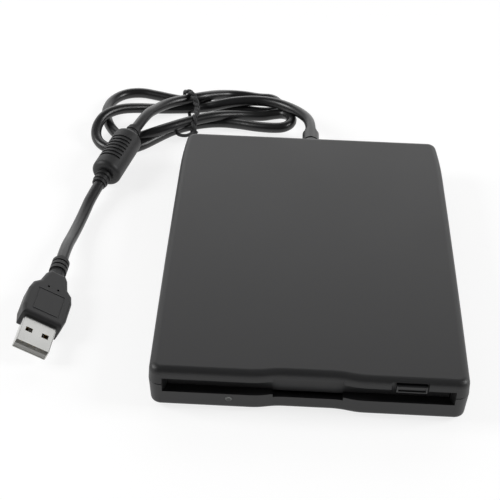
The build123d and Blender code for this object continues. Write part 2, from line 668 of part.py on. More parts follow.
def button_recess():
    """The pocket round the eject button, open to the slot, and the hole for its stem."""
    left = BUTTON_X - BUTTON_WIDTH / 2 - BUTTON_LEFT_GAP
    right = BUTTON_X + BUTTON_WIDTH / 2 + BUTTON_RIGHT_GAP
    pocket = block(left, right, FRONT_Y - 1, FRONT_Y + BUTTON_DEPTH + STEM_CLEARANCE,
                   SLOT_LOW, BUTTON_HIGH + BUTTON_TOP_GAP)
    half = STEM_WIDTH / 2 + STEM_CLEARANCE
    return pocket + block(BUTTON_X - half, BUTTON_X + half, FRONT_Y, BEZEL_BACK + 1,
                          STEM_LOW - STEM_CLEARANCE, STEM_HIGH + STEM_CLEARANCE)


def gland_hole():
    """The hole in the rear wall, half in each shell."""
    return rod_y(GLAND_NECK_RADIUS, REAR_Y - GLAND_HOLE_DEPTH, REAR_Y + 1, 0, GLAND_Z)


def hinge_ear():
    """The ear that holds one end of the door's pin, on the right."""
    x0, half, neck = SLOT_INNER_HALF + DOOR_SIDE_GAP, EAR_HALF_HEIGHT, CHASSIS_TOP - SINK
    x1 = x0 + EAR_WIDTH
    ear = block(x0, x1, BEZEL_BACK, DOOR_PIN_Y + half, DOOR_PIN_Z - half, neck)
    return ear + block(x0, x1, BEZEL_BACK, BEZEL_BACK + EAR_ROOT_DEPTH, neck, CEILING + SINK)


def make_top_shell():
    shell = shell_half(CASE_TOP, TOP_ROUND) - shell_room(CEILING)
    shell = shell - lip_ring(0.0) - slot_cut() - button_recess() + both_sides(hinge_ear())
    reach = SLOT_INNER_HALF + DOOR_SIDE_GAP + DOOR_PIN_REACH
    shell = shell - rod_x(DOOR_PIN_RADIUS, -reach, reach, DOOR_PIN_Y, DOOR_PIN_Z)
    for x in (-CASE_SCREW_X, CASE_SCREW_X):
        shell = shell + disc(BOSS_RADIUS, PARTING_Z, CEILING + SINK, x, CASE_SCREW_Y)
        shell = shell - well(SCREW_RADIUS, x, CASE_SCREW_Y, z1=CEILING - SCREW_HOLE_ROOF)
    keep("top_shell", shell - gland_hole())


def screw_boss(x, y, radius, top, sunk):
    """A boss on the floor of the case, and the stepped hole for its screw."""
    boss = disc(radius, FLOOR - SHELL_WALL / 2, top, x, y)
    hole = well(SCREW_RADIUS, x, y) + well(SCREW_HEAD_RADIUS + SCREW_HEAD_ROOM, x, y,
                                           z1=FOOT_HEIGHT + sunk + SCREW_HEAD_HEIGHT)
    return boss, hole


def make_bottom_shell():
    shell = shell_half(FOOT_HEIGHT, BOTTOM_ROUND) - shell_room(FLOOR)
    shell = shell + lip_ring(LIP_CLEARANCE) - slot_cut()
    shell = shell - rod_y(LED_LENS_RADIUS, FRONT_Y - 1, BEZEL_BACK + 1, LED_X, LED_Z)
    for side in (-1, 1):
        screws = [(CASE_SCREW_X, CASE_SCREW_Y, BOSS_RADIUS, PARTING_Z, CASE_SCREW_SUNK)]
        screws += [(MOUNT_SCREW_X, y, MOUNT_BOSS_RADIUS, CHASSIS_FLOOR, MOUNT_SCREW_SUNK)
                   for y in MOUNT_SCREW_Y]
        for x, y, radius, top, sunk in screws:
            boss, hole = screw_boss(side * x, y, radius, top, sunk)
            shell = shell + boss - hole
        for y in (-FOOT_Y, FOOT_Y):
            shell = shell - well(FOOT_RADIUS + FOOT_CLEARANCE, side * FOOT_X, y, z1=FOOT_HEIGHT + FOOT_RECESS)
    post_y = USB_BOARD_FRONT + USB_POST_FROM_FRONT
    for x in (USB_BOARD_LEFT + USB_POST_INSETS[0], USB_BOARD_RIGHT - USB_POST_INSETS[1]):
        shell = shell + disc(USB_POST_RADIUS, FLOOR - SINK, USB_BOARD_Z, x, post_y)
    keep("bottom_shell", shell - gland_hole())


def make_feet():
    feet = []
    for x in (-FOOT_X, FOOT_X):
        for y in (-FOOT_Y, FOOT_Y):
            foot = disc(FOOT_RADIUS, 0, FOOT_HEIGHT + FOOT_RECESS, x, y)
            feet.append(fillet(foot.edges().group_by(Axis.Z)[0], FOOT_ROUND))
    keep("rubber_feet", group(feet))


def make_screws():
    sides = (-1, 1)
    head, tip = FOOT_HEIGHT + CASE_SCREW_SUNK, CEILING - SCREW_TIP_GAP
    keep("case_screws", group([screw_up(s * CASE_SCREW_X, CASE_SCREW_Y, head, tip) for s in sides]))
    head = FOOT_HEIGHT + MOUNT_SCREW_SUNK
    keep("chassis_screws", group([screw_up(s * MOUNT_SCREW_X, y, head, CHASSIS_DECK)
                                  for s in sides for y in MOUNT_SCREW_Y]))


def make_light():
    """The lens in the front wall, the lamp behind it and its small board."""
    skin = FRONT_Y + (PARTING_Z - LED_Z) * math.tan(math.radians(SHELL_DRAFT))
    lens = rod_y(LED_LENS_RADIUS, skin - LED_LENS_PROUD, BEZEL_BACK, LED_X, LED_Z)
    keep("led_lens", fillet(lens.edges().group_by(Axis.Y)[0], LED_LENS_ROUND))
    half, front = LED_BODY / 2, BEZEL_BACK + 2 * LED_BOARD_GAP
    keep("status_led", block(LED_X - half, LED_X + half, front, front + LED_BODY, LED_BOARD_TOP, LED_Z + half))
    front = BEZEL_BACK + LED_BOARD_GAP
    keep("led_board", block(LED_X - LED_BOARD_HALF, LED_X + LED_BOARD_HALF, front, front + LED_BOARD_DEPTH,
                            FLOOR, LED_BOARD_TOP))


# --- Dust door ----------------------------------------------------------------------
def make_door():
    half = SLOT_INNER_HALF
    back, top = DOOR_FRONT + DOOR_THICKNESS, SLOT_HIGH - DOOR_TOP_GAP
    door = block(-half, half, DOOR_FRONT, back, SLOT_LOW - DOOR_OVERLAP, top)
    middle = THUMB_WIDTH / 2 + KNUCKLE_LENGTH
    for x, end in ((-half, KNUCKLE_LENGTH - half), (-middle, middle), (half - KNUCKLE_LENGTH, half)):
        door = door + rod_x(DOOR_KNUCKLE_RADIUS, x, end, DOOR_PIN_Y, DOOR_PIN_Z)
        door = door + block(x, end, DOOR_FRONT + DOOR_WEB_INSET, back - DOOR_WEB_INSET, top - SINK, DOOR_PIN_Z)
    door = door - rod_x(DOOR_PIN_RADIUS + PIN_CLEARANCE, -half - 1, half + 1, DOOR_PIN_Y, DOOR_PIN_Z)
    spring_x = -half + KNUCKLE_LENGTH
    door = door - block(spring_x, spring_x + DOOR_SPRING_WIDTH, DOOR_FRONT - 1, back + 1,
                        DOOR_PIN_Z - DOOR_SPRING_ROOM, DOOR_PIN_Z + 1)
    keep("dust_door", door)
    reach = half + DOOR_SIDE_GAP + DOOR_PIN_REACH
    keep("door_hinge_pin", rod_x(DOOR_PIN_RADIUS, -reach, reach, DOOR_PIN_Y, DOOR_PIN_Z))
    wire, pitch, turns = DOOR_SPRING_WIRE, DOOR_SPRING_PITCH, DOOR_SPRING_TURNS
    spring = coil(DOOR_PIN_RADIUS + 2 * wire, wire, pitch, turns)
    slack = (DOOR_SPRING_WIDTH - pitch * turns) / 2
    keep("door_spring", Pos(spring_x + slack, DOOR_PIN_Y, DOOR_PIN_Z) * Rot(0, 90, 0) * spring)


# --- Eject button and slide -----------------------------------------------------------
def make_button():
    left, right = BUTTON_X - BUTTON_WIDTH / 2, BUTTON_X + BUTTON_WIDTH / 2
    back = FRONT_Y + BUTTON_DEPTH
    cap = block(left, right, FRONT_Y, back, BUTTON_LOW, BUTTON_HIGH)
    cap = fillet(cap.edges().group_by(Axis.Y)[0], BUTTON_ROUND)
    rim = BUTTON_PANEL_BORDER
    panel = block(left + rim, right - rim, FRONT_Y - 1, FRONT_Y + BUTTON_PANEL_DEPTH,
                  BUTTON_LOW + rim, BUTTON_HIGH - rim)
    stem = block(BUTTON_X - STEM_WIDTH / 2, BUTTON_X + STEM_WIDTH / 2, back,
                 BEZEL_BACK + SLIDE_FRONT_GAP + EJECT_TRAVEL, STEM_LOW, STEM_HIGH)
    keep("eject_button", cap - panel + stem)


def make_slide():
    """The sheet that links the button to the carrier's pins: a bar, two rails and a raised arm."""
    t, low = SLIDE_SHEET, SLIDE_LOW
    outer, stem_left = RAIL_X + SLIDE_SHEET, BUTTON_X - STEM_WIDTH / 2
    nose_front = BEZEL_BACK + SLIDE_FRONT_GAP + EJECT_TRAVEL
    leg_front = DOOR_PIN_Y + EAR_HALF_HEIGHT + SLIDE_FRONT_GAP + EJECT_TRAVEL
    slide = block(-outer, outer, CROSS_BAR_FRONT, CROSS_BAR_REAR, low, low + t)
    slide = slide + block(-outer, -RAIL_X, CROSS_BAR_FRONT, SLIDE_RAIL_END, low, SLIDE_RAIL_TOP)
    slide = slide + block(RAIL_X, outer, CROSS_BAR_FRONT, PIN_Y[1] + SLIDE_RAIL_PAST_PIN, low, SLIDE_RAIL_TOP)
    slide = slide + block(RAIL_X, outer, leg_front, COVER_FRONT - SLIDE_COVER_GAP, low, STEM_HIGH)
    slide = slide + block(stem_left, outer, leg_front, leg_front + SLIDE_PLATE_DEPTH, STEM_LOW, STEM_HIGH)
    slide = slide + block(stem_left, stem_left + STEM_WIDTH, nose_front, leg_front, STEM_LOW, STEM_HIGH)
    for y in PIN_Y:
        slide = slide - slanted_slot(y)
    keep("eject_slide", slide)


def slanted_slot(y):
    """The ramp in a slide rail that lowers the carrier's pins as the slide comes forward."""
    ramp = Vector(0, EJECT_TRAVEL, -CARRIER_DROP)
    middle = Vector(0, y, PIN_Z) + ramp * 0.5
    side = Plane(origin=middle, x_dir=ramp, z_dir=(1, 0, 0))
    slot = SlotCenterToCenter(ramp.length, 2 * (PIN_RADIUS + PIN_PLAY))
    return extrude(side * slot, amount=RAIL_X + 2, both=True)


def make_eject_springs():
    length = SPRING_LENGTH - 2 * SPRING_WIRE
    springs = []
    for x in (-SPRING_X, SPRING_X):
        spring = coil(SPRING_RADIUS, SPRING_WIRE, length / SPRING_TURNS, SPRING_TURNS)
        place = Pos(x, CROSS_BAR_REAR + SPRING_WIRE, SLIDE_LOW + SLIDE_SHEET / 2)
        springs.append(place * Rot(-90, 0, 0) * spring)
    keep("eject_springs", group(springs))


# --- Chassis, cover and carrier ----------------------------------------------------------
def pin_slot(y):
    """The upright slot that guides a pair of the carrier's pins through the chassis walls."""
    r, reach, low = PIN_RADIUS + PIN_PLAY, CHASSIS_HALF + 2 * SHEET, PIN_Z - CARRIER_DROP
    return (block(-reach, reach, y - r, y + r, low, PIN_Z)
            + rod_x(r, -reach, reach, y, PIN_Z) + rod_x(r, -reach, reach, y, low))


def make_chassis():
    t, h = SHEET, CHASSIS_HALF
    chassis = block(-h - t, h + t, CHASSIS_FRONT, CHASSIS_REAR, CHASSIS_FLOOR, CHASSIS_DECK)
    chassis = chassis + both_sides(block(h, h + t, CHASSIS_FRONT, CHASSIS_REAR, CHASSIS_FLOOR, CHASSIS_TOP))
    chassis = chassis + block(-h, h, CHASSIS_REAR - t, CHASSIS_REAR, CHASSIS_FLOOR, CHASSIS_REAR_TOP)
    chassis = chassis + block(SCREW_AXIS_X - BRACKET_HALF, SCREW_AXIS_X + BRACKET_HALF, CHASSIS_REAR - t,
                              CHASSIS_REAR, CHASSIS_REAR_TOP - SINK, CHASSIS_TOP)
    for x in (-SPRING_X, SPRING_X):
        chassis = chassis + block(x - SPRING_TAB_HALF, x + SPRING_TAB_HALF, SPRING_TAB_Y,
                                  SPRING_TAB_Y + SPRING_TAB_THICKNESS, CHASSIS_DECK - SINK, SPRING_TAB_TOP)
        side = math.copysign(1, x)
        window = side * (h - FLOOR_WINDOW_INSET)
        chassis = chassis - block(window - WINDOW_HALF, window + WINDOW_HALF, HUB_Y - FLOOR_WINDOW_BEFORE,
                                  HUB_Y + FLOOR_WINDOW_BEHIND, 0, CHASSIS_DECK + 1)
        for y in MOUNT_SCREW_Y:
            chassis = chassis - well(SCREW_RADIUS, side * MOUNT_SCREW_X, y, z1=CHASSIS_DECK + 1)
    for y in PIN_Y:
        chassis = chassis - pin_slot(y)
    chassis = chassis - well(BEARING_RADIUS, 0, HUB_Y, z1=CHASSIS_DECK + 1)
    root = CHASSIS_DECK - SINK
    chassis = chassis + disc(LATCH_POST_RADIUS, root, LATCH_LOW + LATCH_THICKNESS + LATCH_POST_ABOVE,
                             LATCH_X, LATCH_Y)
    chassis = chassis + disc(LATCH_POST_RADIUS + LATCH_SEAT_MARGIN, root, LATCH_LOW - LATCH_SEAT_GAP,
                             LATCH_X, LATCH_Y)
    keep("chassis", chassis)


def make_cover():
    t, h = THIN_SHEET, CHASSIS_HALF + SHEET
    front, rear = COVER_FRONT, CHASSIS_REAR - COVER_REAR_GAP
    cover = block(-h - t, h + t, front, rear, CHASSIS_TOP, CHASSIS_TOP + t)
    cover = cover + both_sides(block(h, h + t, front, rear, COVER_SKIRT_LOW, CHASSIS_TOP + SINK))
    cover = cover - block(-COVER_SLOT_HALF, COVER_SLOT_HALF, HUB_Y + COVER_SLOT_FROM_HUB,
                          CHASSIS_REAR - COVER_SLOT_REAR_GAP, PARTING_Z, CASE_TOP)
    hole_x = CHASSIS_HALF - COVER_HOLE_INSET
    for x in (-hole_x, hole_x):
        cover = cover - well(COVER_HOLE_RADIUS, x, HUB_Y + COVER_HOLE_FROM_HUB)
    keep("drive_cover", cover - well(COVER_HUB_HOLE_RADIUS, 0, HUB_Y))


def make_carrier():
    t, h = THIN_SHEET, CARRIER_HALF
    low, top = DISK_FLOOR - t, CARRIER_TOP + t
    front, rear = CARRIER_FRONT, CARRIER_REAR
    carrier = block(-h - t, h + t, front, rear, CARRIER_TOP, top)
    carrier = carrier + both_sides(block(h, h + t, front, rear, low, top))
    carrier = carrier + both_sides(block(h - RAIL_WIDTH, h + t, front, rear, low, DISK_FLOOR))
    w = CARRIER_HEAD_WINDOW / 2
    carrier = carrier - block(-w, w, HUB_Y + CARRIER_HEAD_WINDOW_FROM_HUB, rear + 1, CARRIER_TOP - 1, top + 1)
    carrier = carrier - well(CARRIER_HUB_HOLE_RADIUS, 0, HUB_Y, z0=CARRIER_TOP - 1)
    x = h - CARRIER_WINDOW_INSET
    carrier = carrier - both_sides(block(x - WINDOW_HALF, x + WINDOW_HALF, front + CARRIER_WINDOW_FRONT,
                                         rear - CARRIER_WINDOW_REAR, CARRIER_TOP - 1, top + 1))
    reach = CHASSIS_HALF + SHEET - SINK
    pins = [rod_x(PIN_RADIUS, *sorted((s * h, s * reach)), y, PIN_Z) for s in (-1, 1) for y in PIN_Y]
    for pin in pins:
        carrier = carrier - pin
    keep("disk_carrier", carrier)
    keep("carrier_pins", group(pins))


# --- Spindle -------------------------------------------------------------------------------
def make_spindle_bearing():
    """The motor's board with its windings, and the bearing through it."""
    reach, half = MOTOR_BOARD_TAB
    top = MOTOR_BOARD_TOP
    board = disc(ROTOR_RADIUS + MOTOR_BOARD_MARGIN, CHASSIS_DECK, top, 0, HUB_Y)
    board = board + block(-reach, 0, HUB_Y - half, HUB_Y + half, CHASSIS_DECK, top)
    keep("motor_board", board - well(BEARING_RADIUS, 0, HUB_Y))
    low = FLOOR + SHAFT_END_GAP
    bearing = disc(BEARING_RADIUS, low, ROTOR_ROOF - BEARING_ROOF_GAP, 0, HUB_Y)
    bearing = bearing - well(SHAFT_RADIUS + RUNNING_CLEARANCE, 0, HUB_Y, z0=low + BEARING_FLOOR)
    keep("spindle_bearing", bearing)
    inner = (COIL_LENGTH - 2 * COIL_HOLE, COIL_WIDTH - 2 * COIL_HOLE)
    winding = extrude(SlotOverall(COIL_LENGTH, COIL_WIDTH) - SlotOverall(*inner), amount=COIL_HEIGHT)
    turns = [Rot(0, 0, 360 * i / COIL_COUNT) for i in range(COIL_COUNT)]
    keep("stator_coils", group([Pos(0, HUB_Y, top) * turn * Pos(COIL_RING_RADIUS, 0, 0) * winding
                                for turn in turns]))


def make_rotor():
    rim_low, inner = MOTOR_BOARD_TOP + ROTOR_FLOAT, ROTOR_RADIUS - ROTOR_WALL
    roof_low = ROTOR_ROOF - ROTOR_WALL
    cup = disc(ROTOR_RADIUS, rim_low, ROTOR_ROOF, 0, HUB_Y) - well(inner, 0, HUB_Y, z1=roof_low)
    table = disc(HUB_RADIUS, ROTOR_ROOF - SINK, HUB_TOP, 0, HUB_Y)
    shaft = disc(SHAFT_RADIUS, FLOOR + SHAFT_END_GAP + BEARING_FLOOR + SHAFT_END_GAP, SHAFT_TOP, 0, HUB_Y)
    shaft = chamfer(shaft.edges().group_by(Axis.Z)[-1], SHAFT_CHAMFER)
    rotor = cup + table + shaft - well(DRIVE_PIN_RADIUS, DRIVE_PIN_OFFSET, HUB_Y, z0=ROTOR_ROOF)
    keep("spindle_rotor", rotor)
    ring = disc(inner, rim_low, roof_low, 0, HUB_Y)
    keep("rotor_magnet", ring - well(inner - MAGNET_THICKNESS, 0, HUB_Y))
    keep("drive_pin", disc(DRIVE_PIN_RADIUS, ROTOR_ROOF, HUB_TOP + DRIVE_PIN_PROUD, DRIVE_PIN_OFFSET, HUB_Y))


# --- Heads -----------------------------------------------------------------------------------
def make_carriage():
    front, rear, half = CARRIAGE_BLOCK_FRONT, CARRIAGE_BLOCK_REAR, CARRIAGE_HALF
    nose = HEAD_Y - HEAD_SIZE / 2 - CARRIAGE_NOSE
    base = block(-half, half, nose, rear, CARRIAGE_LOW, CARRIAGE_HIGH)
    for y in (HEAD_Y + SLEEVE_FROM_HEAD, rear - SLEEVE_FROM_REAR):
        end = y + SLEEVE_LENGTH
        sleeve = rod_y(GUIDE_ROD_RADIUS + SLEEVE_WALL, y, end, GUIDE_ROD_X, GUIDE_ROD_Z)
        web = block(half - SINK, GUIDE_ROD_X, y, end, CARRIAGE_LOW, CARRIAGE_HIGH - SINK)
        base = base + both_sides(sleeve + web)
    ear_in, ear_out = ARM_HALF + ARM_EAR_GAP, ARM_HALF + ARM_EAR
    base = base + block(-ear_out, ear_out, front, rear, CARRIAGE_LOW, CARRIAGE_POST_TOP)
    base = base + both_sides(block(ear_in, ear_out, front, rear, CARRIAGE_LOW, ARM_PIVOT_Z + ARM_EAR_ABOVE))
    base = base + block(ARM_HALF, SCREW_AXIS_X + NUT_PAST_AXIS, front + NUT_FRONT_STEP, rear - NUT_REAR_STEP,
                        SCREW_AXIS_Z - NUT_HALF_HEIGHT, SCREW_AXIS_Z + NUT_HALF_HEIGHT)
    clear = RUNNING_CLEARANCE
    base = base - both_sides(rod_y(GUIDE_ROD_RADIUS + clear, 0, CHASSIS_REAR, GUIDE_ROD_X, GUIDE_ROD_Z))
    base = base - rod_y(LEAD_SCREW_RADIUS + clear, 0, CHASSIS_REAR, SCREW_AXIS_X, SCREW_AXIS_Z)
    pin = rod_x(ARM_PIN_RADIUS, -ear_out, ear_out, ARM_PIVOT_Y, ARM_PIVOT_Z)
    keep("head_carriage", base - pin)
    keep("arm_pivot_pin", pin)


def head_block(low, high):
    """A read head over the outermost track."""
    h = HEAD_SIZE / 2
    return block(-h, h, HEAD_Y - h, HEAD_Y + h, low, high)


def make_heads():
    keep("lower_head", head_block(CARRIAGE_HIGH, LOWER_HEAD_TOP))
    keep("upper_head", head_block(UPPER_HEAD_LOW, UPPER_HEAD_TOP))
    top, t = UPPER_HEAD_TOP, ARM_THICKNESS
    reach = HEAD_SIZE / 2 + HEAD_MARGIN
    tip, knee = HEAD_Y - reach, HEAD_Y + reach
    profile = Polyline((tip, top), (knee, top), (ARM_PIVOT_Y, ARM_PIVOT_Z), (ARM_PIVOT_Y, ARM_PIVOT_Z + t),
                       (knee + t / 2, top + t), (tip, top + t), close=True)
    arm = extrude(Plane.YZ * make_face(profile), amount=ARM_HALF, both=True)
    arm = arm + rod_x(ARM_BARREL_RADIUS, -ARM_HALF, ARM_HALF, ARM_PIVOT_Y, ARM_PIVOT_Z)
    bore = rod_x(ARM_PIN_RADIUS + RUNNING_CLEARANCE, -2 * ARM_HALF, 2 * ARM_HALF, ARM_PIVOT_Y, ARM_PIVOT_Z)
    keep("upper_head_arm", arm - bore)
    bend = FilletPolyline((0, CARRIAGE_BLOCK_REAR, FLEX_HIGH), (0, CARRIAGE_BLOCK_REAR + FLEX_REACH, FLEX_HIGH),
                          (0, CARRIAGE_BLOCK_REAR + FLEX_REACH, FLEX_LOW), radius=FLEX_BEND)
    section = Plane(origin=bend @ 0, x_dir=(1, 0, 0), z_dir=bend % 0) * Rectangle(FLEX_WIDTH, FLEX_THICKNESS)
    keep("head_flex_cable", sweep(section, bend))


def make_guide_rods():
    rods, clamps = [], []
    for x in (-GUIDE_ROD_X, GUIDE_ROD_X):
        rod = rod_y(GUIDE_ROD_RADIUS, GUIDE_ROD_FRONT, GUIDE_ROD_REAR, x, GUIDE_ROD_Z)
        rods.append(rod)
        for y in (GUIDE_ROD_FRONT, GUIDE_ROD_REAR - ROD_CLAMP_DEPTH):
            clamp = block(x - ROD_CLAMP_HALF, x + ROD_CLAMP_HALF, y, y + ROD_CLAMP_DEPTH, CHASSIS_DECK,
                          GUIDE_ROD_Z + ROD_CLAMP_COVER)
            clamps.append(clamp - rod)
    keep("guide_rods", group(rods))
    keep("rod_clamps", group(clamps))


def make_stepper():
    x, z = SCREW_AXIS_X, SCREW_AXIS_Z
    can = rod_y(STEPPER_RADIUS, STEPPER_FRONT, STEPPER_REAR, x, z)
    bore = rod_y(STEPPER_BORE_RADIUS, STEPPER_FRONT - 1, STEPPER_FRONT + STEPPER_BORE_DEPTH, x, z)
    keep("stepper_motor", fillet(can.edges(), STEPPER_ROUND) - bore)
    plate = block(x - BRACKET_HALF, x + BRACKET_HALF, STEPPER_FRONT - BRACKET_SHEET, STEPPER_FRONT,
                  CHASSIS_DECK, z + BRACKET_ABOVE_AXIS)
    hole = rod_y(BRACKET_HOLE_RADIUS, STEPPER_FRONT - 1, STEPPER_FRONT + 1, x, z)
    keep("stepper_bracket", plate - hole + screw_bearing_arm())
    height = LEAD_SCREW_REAR - LEAD_SCREW_FRONT
    thread = coil(LEAD_SCREW_RADIUS, LEAD_SCREW_GROOVE, LEAD_SCREW_PITCH, height / LEAD_SCREW_PITCH)
    screw = rod_y(LEAD_SCREW_RADIUS, LEAD_SCREW_FRONT, LEAD_SCREW_REAR, x, z)
    screw = screw - Pos(x, LEAD_SCREW_FRONT, z) * Rot(-90, 0, 0) * thread
    keep("lead_screw", screw + rod_y(SCREW_JOURNAL_RADIUS, LEAD_SCREW_FRONT - SCREW_JOURNAL_LENGTH,
                                     STEPPER_FRONT + SCREW_JOURNAL_INTO_MOTOR, x, z))


def screw_bearing_arm():
    """The front end of the stepper's bracket, which holds the free end of the lead screw."""
    x0, x1 = SCREW_AXIS_X - BEARING_ARM_HALF, SCREW_AXIS_X + BEARING_ARM_HALF
    y = LEAD_SCREW_FRONT - BEARING_ARM_SETBACK
    upright = block(x0, x1, y, y + BEARING_ARM_DEPTH, CHASSIS_DECK, SCREW_AXIS_Z + BEARING_ARM_ABOVE_AXIS)
    foot = block(x0, x1, y, STEPPER_FRONT, CHASSIS_DECK, CHASSIS_DECK + BRACKET_SHEET)
    return upright + foot - rod_y(SCREW_JOURNAL_RADIUS + RUNNING_CLEARANCE, y - 1, y + BEARING_ARM_DEPTH + 1,
                                  SCREW_AXIS_X, SCREW_AXIS_Z)


# --- Latch and sensors --------------------------------------------------------------------------
def make_latch():
    lever = disc(LATCH_BOSS_RADIUS, LATCH_LOW, LATCH_LOW + LATCH_THICKNESS, LATCH_X, LATCH_Y)
    for arm in (LATCH_LONG_ARM, LATCH_SHORT_ARM):
        face = make_face(Polyline(*((LATCH_X + x, LATCH_Y + y) for x, y in arm), close=True))
        lever = lever + extrude(Pos(0, 0, LATCH_LOW) * face, amount=LATCH_THICKNESS)
    keep("latch_lever", lever - well(LATCH_POST_RADIUS + RUNNING_CLEARANCE, LATCH_X, LATCH_Y))


def make_sensors():
    bodies = []
    for name, x in (("disk_in_plunger", -SENSOR_X), ("write_protect_plunger", SENSOR_X)):
        body = block(x - SENSOR_HALF_WIDTH, x + SENSOR_HALF_WIDTH, SENSOR_Y - SENSOR_HALF_DEPTH,
                     SENSOR_Y + SENSOR_HALF_DEPTH, CHASSIS_DECK, SENSOR_TOP)
        bodies.append(body - well(PLUNGER_RADIUS + RUNNING_CLEARANCE, x, SENSOR_Y,
                                  z0=CHASSIS_DECK + SENSOR_FLOOR))
        plunger = disc(PLUNGER_RADIUS, CHASSIS_DECK + PLUNGER_LIFT, PLUNGER_TOP, x, SENSOR_Y)
        keep(name, fillet(plunger.edges().group_by(Axis.Z)[-1], PLUNGER_ROUND))
    keep("sensor_switches", group(bodies))


# --- Boards ---------------------------------------------------------------------------------------
def placed(part, corner_x, corner_y, top):
    """A small part on a board, from its place and size."""
    x, y, width, depth, height = part
    return block(corner_x + x, corner_x + x + width, corner_y + y, corner_y + y + depth, top, top + height)


def make_control_board():
    left, right, front = CONTROL_BOARD_LEFT, CONTROL_BOARD_RIGHT, CONTROL_BOARD_FRONT
    rear = front + CONTROL_BOARD_DEPTH
    low, top = CONTROL_BOARD_LOW, CONTROL_BOARD_LOW + STIFF_BOARD
    seat = LATCH_POST_RADIUS + LATCH_SEAT_MARGIN + CONTROL_BOARD_POST_GAP
    keep("control_board", block(left, right, front, rear, low, top) - well(seat, LATCH_X, LATCH_Y))
    inset = STANDOFF_INSET
    keep("board_standoffs", group([disc(STANDOFF_RADIUS, CHASSIS_DECK, low, x, y)
                                   for x in (left + inset, right - inset)
                                   for y in (front + inset, rear - inset)]))
    x, *rest = CONTROL_SMALL_PARTS
    small = [(x + i * CONTROL_SMALL_STEP, *rest) for i in range(CONTROL_SMALL_COUNT)]
    keep("control_chips", group([placed(p, left, front, top) for p in CONTROL_CHIPS]
                                + [placed(p, right, front, top) for p in (CONTROL_DRIVER, *small)]))


def make_usb_board():
    left, front = USB_BOARD_LEFT, USB_BOARD_FRONT
    top = USB_BOARD_Z + STIFF_BOARD
    keep("usb_board", block(left, USB_BOARD_RIGHT, front, front + USB_BOARD_DEPTH, USB_BOARD_Z, top))
    keep("usb_bridge_parts", group([placed(p, left, front, top) for p in USB_BOARD_PARTS]))
    socket = placed(LEAD_CONNECTOR, left, front, top)
    keep("lead_connector", fillet(socket.edges().group_by(Axis.Z)[-1], LEAD_CONNECTOR_ROUND))


# --- USB lead ---------------------------------------------------------------------------------------
def corner_radii(points):
    """Arc radii as large as the runs beside each corner allow."""
    radii = []
    for a, b, c in zip(points, points[1:], points[2:]):
        before, after = Vector(*b) - Vector(*a), Vector(*c) - Vector(*b)
        turn = math.radians(before.get_angle(after))
        radii.append(0.45 * min(before.length, after.length) / math.tan(turn / 2))
    return radii


def lead_tube(name, points):
    """A stretch of the lead along its route."""
    radii = corner_radii(points)
    path = FilletPolyline(*points, radius=radii)
    section = Plane(origin=path @ 0, z_dir=path % 0) * Circle(CABLE_RADIUS)
    tube = sweep(section, path)
    expected = math.pi * CABLE_RADIUS ** 2 * path.length
    print(f"{name}: length {path.length:.1f}, radii {[round(r, 1) for r in radii]}, "
          f"volume {tube.volume:.1f} against {expected:.1f}")
    keep(name, tube)


def boot_profile():
    """Half outline of the strain relief: a collar, grooved ribs and a ringed tip."""
    (proud, collar), (neck_radius, neck) = BOOT_COLLAR, BOOT_TIP_NECK
    r, root = BOOT_RADIUS, BOOT_RADIUS - BOOT_GROOVE_DEPTH
    points = [(0, 0), (r + proud, 0), (r + proud, collar), (r, collar)]
    for i in range(BOOT_RIB_COUNT):
        z = BOOT_RIB_START + i * BOOT_RIB_PITCH
        points += [(r, z), (root, z), (root, z + BOOT_GROOVE_WIDTH), (r, z + BOOT_GROOVE_WIDTH)]
    end = BOOT_BODY_END
    points += [(r, end), (neck_radius, end), (neck_radius, end + neck), (BOOT_TIP_RADIUS, end + neck),
               (BOOT_TIP_RADIUS, BOOT_LENGTH), (0, BOOT_LENGTH)]
    return Polyline(*points, close=True)


def make_gland():
    lean = (GLAND_FLANGE_RADIUS + PARTING_Z - GLAND_Z) * math.tan(math.radians(SHELL_DRAFT))
    inner = REAR_Y - SHELL_WALL - lean
    flange = rod_y(GLAND_FLANGE_RADIUS, inner - GLAND_FLANGE, inner, 0, GLAND_Z)
    neck = rod_y(GLAND_NECK_RADIUS, inner, REAR_Y, 0, GLAND_Z)
    boot = revolve(Plane.XZ * make_face(boot_profile()), Axis.Z)
    keep("cable_gland", flange + neck + Pos(0, REAR_Y, GLAND_Z) * Rot(-90, 0, 0) * boot)


def hank_solid():
    """Outer shape of the tied-up turns: two lobes, higher where the turns cross."""
    low = extrude(make_face(Spline(*HANK_EDGE, periodic=True)), amount=CABLE_DIAMETER)
    a, b = (Vector(*point) for point in HANK_RIDGE)
    mid = (a + b) * 0.5
    slope = math.degrees(math.atan2(a.Y - b.Y, a.X - b.X))
    ridge = extrude(SlotCenterToCenter((a - b).length, HANK_RIDGE_WIDTH), amount=2 * CABLE_DIAMETER)
    return low + Pos(mid.X, mid.Y, 0) * Rot(0, 0, slope) * ridge


def tie_loop(inset=0.0):
    """The tie's outline seen along the hank, a flat band with round ends."""
    across = SlotOverall(TIE_SPAN - 2 * inset, TIE_HEIGHT - 2 * inset)
    band = extrude(Plane.YZ * across, amount=TIE_WIDTH / 2 + inset, both=True)
    return Pos(*TIE_PLACE, TIE_HEIGHT / 2 + TIE_LIFT) * Rot(0, 0, TIE_TURN) * band


def make_hank():
    tie = tie_loop() - tie_loop(TIE_THICKNESS)
    keep("cable_tie", tie)
    hank = hank_solid() - tie
    for name in ("usb_cable_start", "usb_cable_end"):
        hank = hank - PARTS[name]
    keep("cable_hank", hank)


def bead_frame():
    """Frame of the ferrite bead: its upper face, with Z along the lead."""
    a, b = Vector(*BEAD_AXIS_FROM), Vector(*BEAD_AXIS_TO)
    along = (b - a).normalized()
    start = a + along * ((BEAD_TOP_Y - a.Y) / along.Y)
    return Plane(origin=start, x_dir=Vector(1, 0, 0), z_dir=along)


